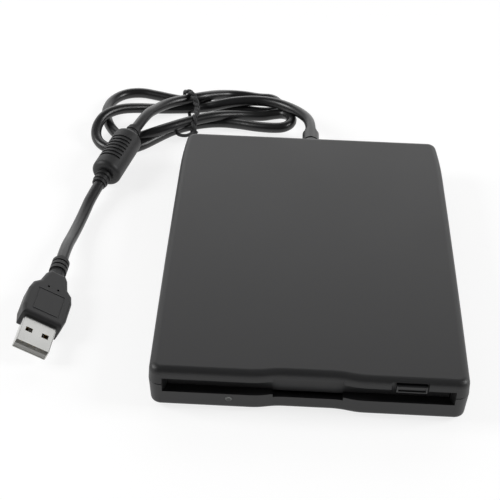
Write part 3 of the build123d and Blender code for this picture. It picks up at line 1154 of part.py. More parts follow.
def bead_groove(z):
    """One groove across the top and the bottom face of the bead, with the side rails left whole."""
    ring = Pos(0, 0, z) * (Cylinder(BEAD_RADIUS + 1, BEAD_GROOVE_WIDTH)
                           - Cylinder(BEAD_RADIUS - BEAD_GROOVE_DEPTH, BEAD_GROOVE_WIDTH))
    span = Pos(0, BEAD_RADIUS, z) * Box(BEAD_GROOVE_SPAN, BEAD_RADIUS * 1.2, 2 * BEAD_GROOVE_WIDTH)
    return (ring & span) + (ring & mirror(span, about=Plane.XZ))


def bead_neck():
    """The ringed sleeve at each end of the bead."""
    neck = Pos(0, 0, BEAD_NECK / 2) * Cylinder(BEAD_NECK_RADIUS, BEAD_NECK)
    for z, radius in BEAD_RINGS:
        neck = neck + Pos(0, 0, z) * Cylinder(radius, BEAD_RING_WIDTH)
    return neck


def make_bead():
    middle = Pos(0, 0, BEAD_LENGTH / 2)
    body = middle * Cylinder(BEAD_RADIUS, BEAD_LENGTH)
    body = fillet(body.edges(), BEAD_ROUND)
    first = BEAD_LENGTH / 2 - (BEAD_GROOVES - 1) / 2 * BEAD_GROOVE_PITCH
    for i in range(BEAD_GROOVES):
        body = body - bead_groove(first + i * BEAD_GROOVE_PITCH)
    body = body + Pos(0, 0, BEAD_LENGTH) * bead_neck() + Rot(180, 0, 0) * bead_neck()
    bore = middle * Cylinder(CABLE_RADIUS, BEAD_LENGTH + 2 * BEAD_NECK + 1)
    core = middle * Cylinder(CORE_RADIUS, CORE_LENGTH)
    place = bead_frame().location * Rot(0, 0, BEAD_ROLL)
    keep("ferrite_overmold", place * (body - bore - core))
    keep("ferrite_core", place * (core - bore))


def plug_frame():
    """Frame of the plug: X across it, Y towards its neck, Z out of its upper face."""
    yaw = math.radians(PLUG_YAW)
    side, up = Vector(math.cos(yaw), math.sin(yaw), 0), Vector(0, 0, 1)
    x_dir = side * math.cos(PLUG_TILT) - up * math.sin(PLUG_TILT)
    z_dir = side * math.sin(PLUG_TILT) + up * math.cos(PLUG_TILT)
    return Plane(origin=(*PLUG_PLACE, PLUG_CENTRE_Z), x_dir=x_dir, z_dir=z_dir)


def plug_neck_end():
    """Where the lead goes into the plug."""
    return tuple((plug_frame().location * Pos(0, PLUG_NECK_END, 0)).position)


def plug_grip():
    """The moulded grip with its tapered end, ringed neck, shallow frame and two dots."""
    half, top = PLUG_WIDTH / 2, PLUG_THICKNESS / 2
    right = [(half - inset, y) for inset, y in (*PLUG_SIDE, (PLUG_END_INSET, PLUG_BODY_LENGTH))]
    outline = Polyline(*(right + [(-x, y) for x, y in reversed(right)]), close=True)
    body = extrude(make_face(outline), amount=top, both=True)
    edges = body.edges().filter_by(Axis.Z, reverse=True).group_by(Axis.Z)
    body = fillet(edges[0] + edges[-1], PLUG_ROUND)
    body = body + rod_y(PLUG_NECK_RADIUS, PLUG_BODY_LENGTH, PLUG_NECK_END, 0, 0)
    for y in PLUG_RINGS:
        body = body + rod_y(PLUG_RING_RADIUS, y - PLUG_RING_WIDTH / 2, y + PLUG_RING_WIDTH / 2, 0, 0)
    w, y0, y1, line = PLUG_FRAME_HALF, PLUG_FRAME_FROM, PLUG_FRAME_TO, PLUG_FRAME_LINE
    frame = block(-w, w, y0, y1, top - PLUG_FRAME_DEPTH, top + 1)
    body = body - (frame - block(-w + line, w - line, y0 + line, y1 - line, 0, top + 1))
    for x in (-PLUG_DOT_X, PLUG_DOT_X):
        body = body - disc(PLUG_DOT_RADIUS, top - PLUG_DOT_DEPTH, top + 1, x, PLUG_DOT_Y)
    return body


def make_plug():
    half_w, half_t = PLUG_SHELL_WIDTH / 2, PLUG_SHELL_THICKNESS / 2
    front, root, wall = -PLUG_SHELL_LENGTH, PLUG_SHELL_INSET, PLUG_SHELL_WALL
    outer = block(-half_w, half_w, front, root, -half_t, half_t)
    outer = fillet(outer.edges().filter_by(Axis.Y), PLUG_SHELL_ROUND)
    in_w, in_t = half_w - wall, half_t - wall
    inner = block(-in_w, in_w, front - 1, root, -in_t, in_t)
    shell = outer - inner
    hole_rear, half = -PLUG_HOLE_FROM, PLUG_HOLE_WIDTH / 2
    for x in (-PLUG_HOLE_X, PLUG_HOLE_X):
        shell = shell - block(x - half, x + half, hole_rear - PLUG_HOLE_LENGTH, hole_rear,
                              -PLUG_SHELL_THICKNESS, PLUG_SHELL_THICKNESS)
    core = block(-in_w, in_w, PLUG_CORE_DEPTH, root, -in_t, in_t)
    tongue = block(-in_w, in_w, front + PLUG_TONGUE_SETBACK, PLUG_CORE_DEPTH, -in_t, PLUG_TONGUE_TOP)
    contacts = [block(x - CONTACT_HALF, x + CONTACT_HALF, front + CONTACT_SETBACK, PLUG_CORE_DEPTH,
                      PLUG_TONGUE_TOP, PLUG_TONGUE_TOP + CONTACT_THICKNESS) for x in CONTACT_X]
    pocket = outer & block(-half_w, half_w, 0, root, -half_t, half_t)
    place = plug_frame().location
    keep("plug_overmold", place * (plug_grip() - pocket))
    keep("plug_shell", place * shell)
    keep("plug_tongue", place * (core + tongue))
    keep("plug_contacts", place * group(contacts))


def main():
    for make in (make_top_shell, make_bottom_shell, make_feet, make_screws, make_light, make_door, make_button,
                 make_slide, make_eject_springs, make_chassis, make_cover, make_carrier, make_spindle_bearing,
                 make_rotor, make_carriage, make_heads, make_guide_rods, make_stepper, make_latch, make_sensors,
                 make_control_board, make_usb_board, make_gland):
        make()
    lead_tube("usb_cable_start", EXIT_ROUTE)
    lead_tube("usb_cable_end", TAIL_ROUTE + [plug_neck_end()])
    make_hank()
    make_bead()
    make_plug()
    os.makedirs("parts", exist_ok=True)
    for name, shape in PARTS.items():
        export_step(shape, f"parts/{name}.step")
    print(len(PARTS), "nodes")


main()
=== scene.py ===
"""Dresses the external floppy disk drive: its lead and tie, the finish of every piece, and a plain studio."""

import json
import logging
import math
from dataclasses import dataclass, field
from enum import Enum

import bmesh
import bpy
from mathutils import Matrix, Vector


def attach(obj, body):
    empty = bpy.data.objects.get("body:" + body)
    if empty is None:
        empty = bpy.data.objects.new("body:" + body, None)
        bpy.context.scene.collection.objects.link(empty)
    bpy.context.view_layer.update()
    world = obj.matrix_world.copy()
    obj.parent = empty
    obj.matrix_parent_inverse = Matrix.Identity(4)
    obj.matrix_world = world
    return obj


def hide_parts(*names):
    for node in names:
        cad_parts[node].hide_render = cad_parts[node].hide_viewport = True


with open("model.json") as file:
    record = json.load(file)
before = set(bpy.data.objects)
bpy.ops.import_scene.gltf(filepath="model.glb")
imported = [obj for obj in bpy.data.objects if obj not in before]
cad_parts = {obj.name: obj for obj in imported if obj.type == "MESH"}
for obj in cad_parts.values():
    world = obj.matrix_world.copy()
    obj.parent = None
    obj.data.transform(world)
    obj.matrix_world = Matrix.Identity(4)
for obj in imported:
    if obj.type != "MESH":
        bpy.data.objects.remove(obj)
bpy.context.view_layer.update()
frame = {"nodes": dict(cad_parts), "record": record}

MM = 0.001
WHITE = "ffffff"
WAVE_PHASE = 20.0                 # radians that the Wave texture runs through in one unit at scale 1
MIX_A, MIX_B, MIX_OUT = 6, 7, 2   # sockets of the Mix node in colour mode
CURVE_STEPS = 10                  # of a strand, from one control point to the next
SECTION_DETAIL = 6                # of a strand's round section, which gets 4 sides and 2 more for each
log = logging.getLogger("drive")

Point = tuple[float, float, float]


def linear(hex_code: str) -> tuple[float, float, float, float]:
    """Turns an sRGB hex colour to the linear values that shaders take, by the standard's own curve.

    Args:
        hex_code: six hex digits, such as "2b2b2c".

    Returns:
        Red, green, blue and an alpha of 1.
    """
    def channel(pair: str) -> float:
        """One channel, from two hex digits."""
        c = int(pair, 16) / 255
        return c / 12.92 if c <= 0.04045 else ((c + 0.055) / 1.055) ** 2.4

    return (*[channel(hex_code[i:i + 2]) for i in (0, 2, 4)], 1.0)


def add_node(tree: bpy.types.NodeTree, kind: str, values: dict | None = None, links: dict | None = None,
             **settings) -> bpy.types.Node:
    """Adds a node with its settings, socket values and incoming links.

    Args:
        tree: the tree that gets it.
        kind: the node's type name.
        values: socket name or number to constant.
        links: socket name or number to the output that feeds it.
        settings: the node's own properties.

    Returns:
        The new node.
    """
    node = tree.nodes.new(kind)
    for name, value in settings.items():
        setattr(node, name, value)
    for name, value in (values or {}).items():
        node.inputs[name].default_value = value
    for name, source in (links or {}).items():
        tree.links.new(source, node.inputs[name])
    return node


class Surface(Enum):
    """How a surface was made, which sets its pattern."""

    MOULDED = "moulded"
    BRUSHED = "brushed"
    SPANGLED = "spangled"
    TURNED = "turned"
    PRINTED = "printed"
    WOUND = "wound"


@dataclass(frozen=True)
class Finish:
    """One real material and the way its surface was made."""

    name: str
    colour: str                       # sRGB hex
    shade: str                        # the colour it varies to
    surface: Surface = Surface.MOULDED
    roughness: float = 0.5
    rough_spread: float = 0.05        # how far the roughness varies
    metallic: float = 0.0
    ior: float = 1.5
    grain_mm: float = 0.3             # size of the pattern's grain
    relief_mm: float = 0.01           # depth of the grain
    cloud_mm: float = 25.0            # size of the slow variation
    grain_share: float = 0.35         # of the grain in the colour, next to the slow variation
    stretch: Point = (1.0, 1.0, 1.0)  # pattern scale along each axis

    def pattern(self, tree: bpy.types.NodeTree, place: bpy.types.NodeSocket) -> bpy.types.NodeSocket:
        """The fine pattern of the surface, from 0 to 1.

        Args:
            tree: the material's tree.
            place: Object coordinates, stretched.

        Returns:
            The output that carries the pattern.
        """
        scale = 1.0 / (self.grain_mm * MM)
        if self.surface in (Surface.SPANGLED, Surface.PRINTED):
            node = add_node(tree, "ShaderNodeTexVoronoi", {"Scale": scale, "Randomness": 1.0},
                            {"Vector": place}, feature="F1",
                            distance="EUCLIDEAN" if self.surface is Surface.SPANGLED else "MANHATTAN")
            return node.outputs["Color"]
        if self.surface in (Surface.TURNED, Surface.WOUND):
            node = add_node(tree, "ShaderNodeTexWave",
                            {"Scale": scale / WAVE_PHASE, "Distortion": 0.3, "Detail": 1.0},
                            {"Vector": place}, wave_type="RINGS", rings_direction="Z")
            return node.outputs["Fac"]
        node = add_node(tree, "ShaderNodeTexNoise", {"Scale": scale, "Detail": 3.0, "Roughness": 0.6},
                        {"Vector": place})
        return node.outputs["Fac"]

    def tint(self, tree: bpy.types.NodeTree, where: bpy.types.NodeSocket,
             both: bpy.types.NodeSocket) -> bpy.types.NodeSocket:
        """The colour, between colour and shade.

        Args:
            tree: the material's tree.
            where: Object coordinates.
            both: the pattern that mixes them.

        Returns:
            The output that carries the colour.
        """
        return add_node(tree, "ShaderNodeMix", {MIX_A: linear(self.colour), MIX_B: linear(self.shade)},
                        {"Factor": both}, data_type="RGBA").outputs[MIX_OUT]

    def build(self) -> bpy.types.Material:
        """Makes the material.

        Returns:
            The material, ready for a slot.
        """
        material = bpy.data.materials.new(self.name)
        material.use_nodes = True
        tree = material.node_tree
        tree.nodes.clear()
        where = add_node(tree, "ShaderNodeTexCoord").outputs["Object"]
        place = add_node(tree, "ShaderNodeMapping", {"Scale": self.stretch},
                         {"Vector": where}).outputs["Vector"]
        fine = self.pattern(tree, place)
        cloud = add_node(tree, "ShaderNodeTexNoise", {"Scale": 1 / (self.cloud_mm * MM), "Detail": 2.0},
                         {"Vector": where}).outputs["Fac"]
        share = add_node(tree, "ShaderNodeMath", {1: self.grain_share}, {0: fine},
                         operation="MULTIPLY").outputs[0]
        both = add_node(tree, "ShaderNodeMath", {1: 1 - self.grain_share}, {0: cloud, 2: share},
                        operation="MULTIPLY_ADD").outputs[0]
        colour = self.tint(tree, where, both)
        smoothest, roughest = self.roughness - self.rough_spread, self.roughness + self.rough_spread
        rough = add_node(tree, "ShaderNodeMapRange", {"To Min": smoothest, "To Max": roughest},
                         {"Value": both}).outputs["Result"]
        bump = add_node(tree, "ShaderNodeBump", {"Strength": 1.0, "Distance": self.relief_mm * MM},
                        {"Height": fine}).outputs["Normal"]
        shader = add_node(tree, "ShaderNodeBsdfPrincipled",
                          {"Metallic": self.metallic, "IOR": self.ior},
                          {"Base Color": colour, "Roughness": rough, "Normal": bump})
        add_node(tree, "ShaderNodeOutputMaterial", None, {"Surface": shader.outputs[0]})
        return material


@dataclass(frozen=True)
class RimHighlightLensFinish(Finish):
    """A small round lens, dark in the middle, with a painted highlight round its rim."""

    centre: tuple[float, float] = (-25.3, 5.35)     # x and z
    rim_highlight_from: tuple[float, float] = (0.62, 0.98)   # how far out the painted highlight starts and is full
    # colour of the painted highlight round the rim
    rim_highlight_colour: str = "9a9d9b"

    def tint(self, tree: bpy.types.NodeTree, where: bpy.types.NodeSocket,
             both: bpy.types.NodeSocket) -> bpy.types.NodeSocket:
        """The lens's colour, with a painted highlight towards its rim.

        Args:
            tree: the material's tree.
            where: Object coordinates.
            both: the plain pattern.

        Returns:
            The output that carries the colour.
        """
        plain = super().tint(tree, where, both)
        flat = add_node(tree, "ShaderNodeVectorMath", {1: (1.0, 0.0, 1.0)}, {0: where},
                        operation="MULTIPLY").outputs[0]
        x, z = self.centre
        away = add_node(tree, "ShaderNodeVectorMath", {1: (x * MM, 0.0, z * MM)}, {0: flat},
                        operation="DISTANCE").outputs["Value"]
        inner, outer = self.rim_highlight_from
        # Painted highlight: a pale colour mixed in round the rim.
        rim_highlight_mask = add_node(tree, "ShaderNodeMapRange", {"From Min": inner * MM, "From Max": outer * MM},
                        {"Value": away}, interpolation_type="SMOOTHSTEP").outputs["Result"]
        return add_node(tree, "ShaderNodeMix", {MIX_B: linear(self.rim_highlight_colour)}, {"Factor": rim_highlight_mask, MIX_A: plain},
                        data_type="RGBA").outputs[MIX_OUT]


# ABS with a spark-eroded grain: dark, with a soft sheen that brightens at a low angle.
CASE_ABS = Finish("case_abs", "1d1d1e", "222223", roughness=0.46, grain_mm=0.35, relief_mm=0.006)
# The same plastic from a smoother mould, painted paler than it is: painted fill light, so that the door shows
# inside the dark, shaded slot.
DOOR_ABS_PAINTED_FILL = Finish("door_abs_painted_fill", "242425", "29292a", roughness=0.42, grain_mm=0.5, relief_mm=0.003)
# The same plastic from a polished mould: a sharper sheen.
BUTTON_ABS = Finish("button_abs", "1c1c1d", "232324", roughness=0.3, grain_mm=0.5, relief_mm=0.002)
# Smoky polycarbonate light pipe: dark in the middle, where the unlit lamp is, with a painted highlight round
# its rim that stands in for the reflection on its rounded edge.
LENS_PC_PAINTED_RIM = RimHighlightLensFinish("lens_polycarbonate_painted_rim", "1d1f1e", "262827", roughness=0.15, ior=1.58, grain_mm=1.0,
                     relief_mm=0.002)
# Moulded rubber: dull black.
FOOT_RUBBER = Finish("foot_rubber", "19191a", "222222", roughness=0.8, grain_mm=0.4, relief_mm=0.02)
# Flexible PVC, extruded: black and slick, so that it carries long highlights.
JACKET_PVC = Finish("jacket_pvc", "161617", "1c1c1d", roughness=0.33, rough_spread=0.06, ior=1.53,
                    grain_mm=0.8, relief_mm=0.008, cloud_mm=9.0)
# Overmoulded PVC: the same material with a fine matt mould face.
GRIP_PVC = Finish("grip_pvc", "1b1b1c", "232324", roughness=0.5, grain_mm=0.3, relief_mm=0.008,
                  cloud_mm=8.0)
# Softer PVC round a wire: matt, greyer than the lead's jacket.
TIE_PVC = Finish("tie_pvc", "2a2a2b", "323233", roughness=0.6, grain_mm=0.4, relief_mm=0.012, cloud_mm=5.0)
# Nickel-plated brass sheet: bright, faintly brushed along the plug.
PLUG_NICKEL = Finish("plug_nickel", "d4d4d2", "bdbdbb", Surface.BRUSHED, roughness=0.24, metallic=1.0,
                     grain_mm=0.25, relief_mm=0.002, cloud_mm=6.0, stretch=(1.0, 0.12, 1.0))
# Glass-filled PBT: ivory, with a dull mould face.
PLUG_PBT = Finish("plug_pbt", "e4e3df", "d6d5d0", roughness=0.45, grain_mm=0.4, relief_mm=0.004)
# Gold flash over nickel: yellow and bright.
CONTACT_GOLD = Finish("contact_gold", "d8b25a", "c69c44", Surface.BRUSHED, roughness=0.25, metallic=1.0,
                      grain_mm=0.2, relief_mm=0.001)
# Hot-dip galvanised steel: grey crystals a few millimetres across.
ZINC_SHEET = Finish("galvanised_steel", "b9bcbf", "9fa3a7", Surface.SPANGLED, roughness=0.38,
                    rough_spread=0.08, metallic=1.0, grain_mm=3.0, relief_mm=0.002)
# Zinc-plated steel: bright grey, dulled in patches.
SCREW_STEEL = Finish("zinc_plated_steel", "b4b5b6", "8f9092", roughness=0.32, metallic=1.0, grain_mm=0.4,
                     relief_mm=0.003, cloud_mm=3.0)
# Drawn spring steel: a plain grey sheen.
SPRING_STEEL = Finish("spring_steel", "a8a9aa", "8c8d8e", Surface.BRUSHED, roughness=0.3, metallic=1.0,
                      grain_mm=0.3, relief_mm=0.002)
# Turned aluminium: pale, with rings about the axis. They are drawn coarser than real tool marks, to show.
TURNED_ALUMINIUM = Finish("turned_aluminium", "cfd0d1", "b3b4b6", Surface.TURNED, roughness=0.28,
                          metallic=1.0, grain_mm=0.4, relief_mm=0.002)
# Sintered bronze: brown yellow and finely pitted.
BEARING_BRONZE = Finish("sintered_bronze", "a8834c", "8a6a3a", roughness=0.45, metallic=1.0, grain_mm=0.15,
                        relief_mm=0.01)
# Glass-fibre board under green resist, with copper traces that show through as paler cells.
BOARD = Finish("solder_resist", "1f5a33", "2c7443", Surface.PRINTED, roughness=0.35, grain_mm=1.6,
               relief_mm=0.02)
# Moulded epoxy: matt, near black.
CHIP_EPOXY = Finish("chip_epoxy", "1c1c1d", "262627", roughness=0.6, grain_mm=0.15, relief_mm=0.01)
# Enamelled copper wire: red brown, ribbed by its turns.
COIL_COPPER = Finish("enamelled_copper", "b5703a", "94562a", Surface.WOUND, roughness=0.35, metallic=1.0,
                     grain_mm=0.2, relief_mm=0.04)
# Sintered ferrite: dark grey and dull.
FERRITE = Finish("sintered_ferrite", "2f2f31", "3a3a3c", roughness=0.6, grain_mm=0.2, relief_mm=0.01)
# Moulded acetal and PBT: off-white, slightly waxy.
ACETAL = Finish("acetal", "e6e3d8", "d9d5c8", roughness=0.45, grain_mm=0.4, relief_mm=0.004)
SWITCH_PBT = Finish("switch_pbt", "d9d6cb", "cbc8bb", roughness=0.5, grain_mm=0.3, relief_mm=0.004)
# Lapped ceramic: dark and smooth enough to mirror.
HEAD_CERAMIC = Finish("lapped_ceramic", "35363a", "404146", roughness=0.15, grain_mm=0.3, relief_mm=0.001)
# Polyimide film: amber and glossy.
FLEX_FILM = Finish("polyimide_film", "b06a22", "985616", Surface.BRUSHED, roughness=0.3, grain_mm=0.5,
                   relief_mm=0.004)

FINISH_OF_SLOT = {
    "case_plastic": CASE_ABS, "door_plastic": DOOR_ABS_PAINTED_FILL, "button_plastic": BUTTON_ABS, "light_lens": LENS_PC_PAINTED_RIM,
    "rubber": FOOT_RUBBER, "screw_steel": SCREW_STEEL, "spring_steel": SPRING_STEEL, "zinc_sheet": ZINC_SHEET,
    "circuit_board": BOARD, "chip_resin": CHIP_EPOXY, "copper": COIL_COPPER, "bearing_bronze": BEARING_BRONZE,
    "turned_metal": TURNED_ALUMINIUM, "ferrite": FERRITE, "acetal": ACETAL, "switch_plastic": SWITCH_PBT,
    "head_ceramic": HEAD_CERAMIC, "arm_spring": SPRING_STEEL, "flex_film": FLEX_FILM,
    "cable_jacket": JACKET_PVC, "grip_plastic": GRIP_PVC, "tie_plastic": TIE_PVC, "plug_metal": PLUG_NICKEL,
    "plug_insulator": PLUG_PBT, "plug_gold": CONTACT_GOLD,
}


@dataclass
class Wardrobe:
    """Keeps one material for each finish and puts it on pieces."""

    made: dict[str, bpy.types.Material] = field(default_factory=dict)

    def material(self, finish: Finish) -> bpy.types.Material:
        """The material of a finish, made once."""
        if finish.name not in self.made:
            self.made[finish.name] = finish.build()
        return self.made[finish.name]

    def dress(self, piece: bpy.types.Object, finish: Finish) -> None:
        """Gives a piece one finish all over."""
        piece.data.materials.clear()
        piece.data.materials.append(self.material(finish))

    def dress_frame(self) -> None:
        """Gives each node of the frame the finish of its slot."""
        for part in frame["record"]["subparts"]:
            node = frame["nodes"][part["node"]]
            finish = FINISH_OF_SLOT[part["material_slot"]]
            for slot in node.material_slots:
                slot.material = self.material(finish)
            log.info("%s: %s", part["node"], finish.name)


def nurbs_curve(name: str, points_mm: list[Point], radius_mm: float) -> bpy.types.Object:
    """A round strand that follows one smooth NURBS spline.

    Args:
        name: the new object's name.
        points_mm: the control points.
        radius_mm: the strand's radius.

    Returns:
        The curve object, linked to the scene.
    """
    curve = bpy.data.curves.new(name, "CURVE")
    curve.dimensions = "3D"
    curve.resolution_u = CURVE_STEPS
    curve.bevel_depth = radius_mm * MM
    curve.bevel_resolution = SECTION_DETAIL
    curve.use_fill_caps = True
    spline = curve.splines.new("NURBS")
    spline.points.add(len(points_mm) - 1)
    for target, point in zip(spline.points, points_mm):
        target.co = (*[c * MM for c in point], 1.0)
    spline.order_u = 3
    spline.use_endpoint_u = True
    piece = bpy.data.objects.new(name, curve)
    bpy.context.scene.collection.objects.link(piece)
    return piece


@dataclass
class Lead:
    """The captive USB lead, from the strain relief to the plug's neck, tied in a hank behind the case."""

    diameter: float = 4.45
    length: float = 600.0
    route: list[Point] = field(default_factory=lambda: [
        # Out of the strain relief and over the other turns to the tie
        (0, 86.3, 9.6), (0, 93.8, 9.6), (-3.3, 100.8, 9.1), (-8.8, 107.6, 8.2), (-16.4, 112.6, 7.7),
        (-24.5, 114.9, 6.8), (-32.4, 113.7, 6.7), (-39.7, 111.7, 6.1), (-46.5, 111.9, 3.8),
        (-53.8, 113.1, 2.3),
        # Round the left end, under the bead, and back to the tie
        (-61.5, 112.4, 2.2), (-68.9, 110.4, 3), (-76.4, 106.5, 5.4), (-83.5, 102.6, 6.9),
        (-89.4, 97.3, 6.9), (-92.2, 90.2, 4.7), (-90.9, 82.7, 2.7), (-85.4, 77.4, 2.2), (-78.4, 76.9, 2.2),
        (-71.8, 80.7, 2.2), (-66.2, 87.1, 2.2), (-60.6, 93.4, 2.2), (-54.2, 98, 2.2),
        # The nearest strand, the tight fold at the right, and back
        (-46.9, 101.3, 2.2), (-39.2, 102.8, 2.2), (-31.4, 100.8, 3), (-23.8, 97.5, 4), (-16.6, 95.5, 4.9),
        (-11.3, 95.6, 5.3), (-8.1, 99.5, 5.4), (-8.3, 105.5, 4.8), (-11.6, 109.8, 3.8), (-16.4, 110, 3),
        (-20.8, 109.2, 2.3), (-27.4, 108, 3), (-34.7, 105, 4.8), (-41.8, 101.1, 6.2), (-48.3, 97.8, 6.4),
        # Under the bead again and round the outside of the left end
        (-54.6, 94.1, 6.4), (-61.2, 89.4, 6.4), (-68, 85.8, 5.6), (-74.7, 84.5, 3.4), (-81.6, 87.2, 2.2),
        (-86.3, 93.8, 2.2), (-89.3, 101.5, 2.2), (-90.4, 109.4, 2.2), (-88.9, 117.5, 2.2),
        (-84, 123.6, 2.2), (-76.8, 125.5, 2.2), (-69.3, 123.3, 2.2), (-61.5, 120.7, 2.2),
        (-53.6, 118.8, 2.2),
        # The strand under the first one, the fold at the far right, and the farthest strand back
        (-45.6, 116.8, 2.2), (-37.7, 114.6, 2.2), (-30.9, 114.4, 2.2), (-27, 113.4, 2.2),
        (-22.6, 112.7, 2.2), (-17.7, 112.7, 2.3), (-14.2, 116.1, 2.5), (-14.2, 121, 2.5),
        (-17.7, 124.5, 2.5), (-22.7, 124.5, 2.3), (-29.7, 126.3, 2.3), (-36.9, 125.5, 3),
        (-43.1, 120.9, 5.2), (-48.5, 116.2, 6.7),
        # Over the turns to the bead, and on to the plug
        (-54.7, 113.2, 6.9), (-61.1, 108.4, 8), (-66.4, 101.4, 9.1), (-71.5, 90, 11.5), (-86, 40.2, 5.1),
        (-87.8, 27.4, 3.6), (-89.4, 13.5, 4.2), (-90.3, 3.2, 6.2), (-90.27, -5.34, 6.71),
    ])

    def build(self, wardrobe: Wardrobe, on_it: list[bpy.types.Object]) -> bpy.types.Object:
        """Args:
            wardrobe: gives the jacket its finish.
            on_it: the pieces on the lead; not used.

        Returns:
            The lead.
        """
        lead = nurbs_curve("usb_lead", self.route, self.diameter / 2)
        wardrobe.dress(lead, JACKET_PVC)
        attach(lead, "case")
        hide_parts("usb_cable_start", "usb_cable_end", "cable_hank")
        return lead


@dataclass
class TwistTie:
    """A covered wire round the hank: two strands twisted on top, one underneath, an eye at the end."""

    wire: float = 0.72    # radius of one strand
    pitch: float = 7.0    # of the twist
    apart: float = 0.96   # from the middle of the twist to a strand's, in radii: the strands just join
    top: list[Point] = field(default_factory=lambda: [
        (-54.8, 116.2, 8.8), (-53.6, 114.0, 10.1), (-51.8, 111.0, 10.3), (-50.2, 107.4, 8.6),
        (-49.6, 103.8, 7.6), (-49.6, 100.2, 8.2), (-49.8, 96.4, 8.4), (-50.2, 93.2, 6.6), (-50.2, 91.0, 4.0),
    ])
    under: list[Point] = field(default_factory=lambda: [
        (-54.8, 116.2, 8.8), (-56.3, 119.4, 7.8), (-56.9, 122.2, 4.6), (-56.6, 121.8, 1.4),
        (-55.2, 117.4, 0.78), (-53.4, 110.0, 0.74), (-51.6, 99.0, 0.74), (-50.2, 93.0, 0.9),
        (-49.6, 90.4, 2.2), (-50.2, 91.0, 4.0),
    ])
    eye: list[Point] = field(default_factory=lambda: [
        (-50.2, 91.0, 4.0), (-51.8, 88.6, 3.6), (-55.2, 88.4, 3.4), (-57.6, 90.2, 3.4), (-56.6, 92.2, 4.4),
        (-53.4, 92.4, 5.0), (-50.6, 91.6, 4.8), (-48.5, 90.6, 3.6),
    ])

    def smooth_path(self, points_mm: list[Point]) -> list[Vector]:
        """Reads evenly smooth points off a spline through the control points.

        Args:
            points_mm: the control points.

        Returns:
            Points along the spline, in millimetres.
        """
        guide = nurbs_curve("guide", points_mm, 0.0)
        mesh = bpy.data.meshes.new_from_object(guide)
        path = [vertex.co / MM for vertex in mesh.vertices]
        bpy.data.objects.remove(guide)
        bpy.data.meshes.remove(mesh)
        return path

    def twisted(self, path: list[Vector], phase: float) -> list[Point]:
        """One strand of the twist.

        Args:
            path: the middle of the twist.
            phase: where round the middle it starts, in radians.

        Returns:
            The strand's control points.
        """
        strand, done = [], 0.0
        for before, here, after in zip([path[0]] + path, path, path[1:] + [path[-1]]):
            done += (here - before).length
            along = (after - before).normalized()
            side = along.cross(Vector((0, 0, 1))).normalized()
            up = side.cross(along)
            turn = phase + 2 * math.pi * done / self.pitch
            outwards = side * math.cos(turn) + up * math.sin(turn)
            strand.append(tuple(here + outwards * self.wire * self.apart))
        return strand

    def build(self, wardrobe: Wardrobe) -> list[bpy.types.Object]:
        """Makes the tie's strands, the wire underneath and the eye.

        Args:
            wardrobe: gives the tie its finish.

        Returns:
            Its pieces.
        """
        path = self.smooth_path(self.top)
        routes = {"tie_strand_a": self.twisted(path, 0.0), "tie_strand_b": self.twisted(path, math.pi),
                  "tie_underside": self.under, "tie_eye": self.eye}
        pieces = []
        for name, route in routes.items():
            piece = nurbs_curve(name, route, self.wire)
            wardrobe.dress(piece, TIE_PVC)
            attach(piece, "case")
            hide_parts("cable_tie")
            pieces.append(piece)
        return pieces


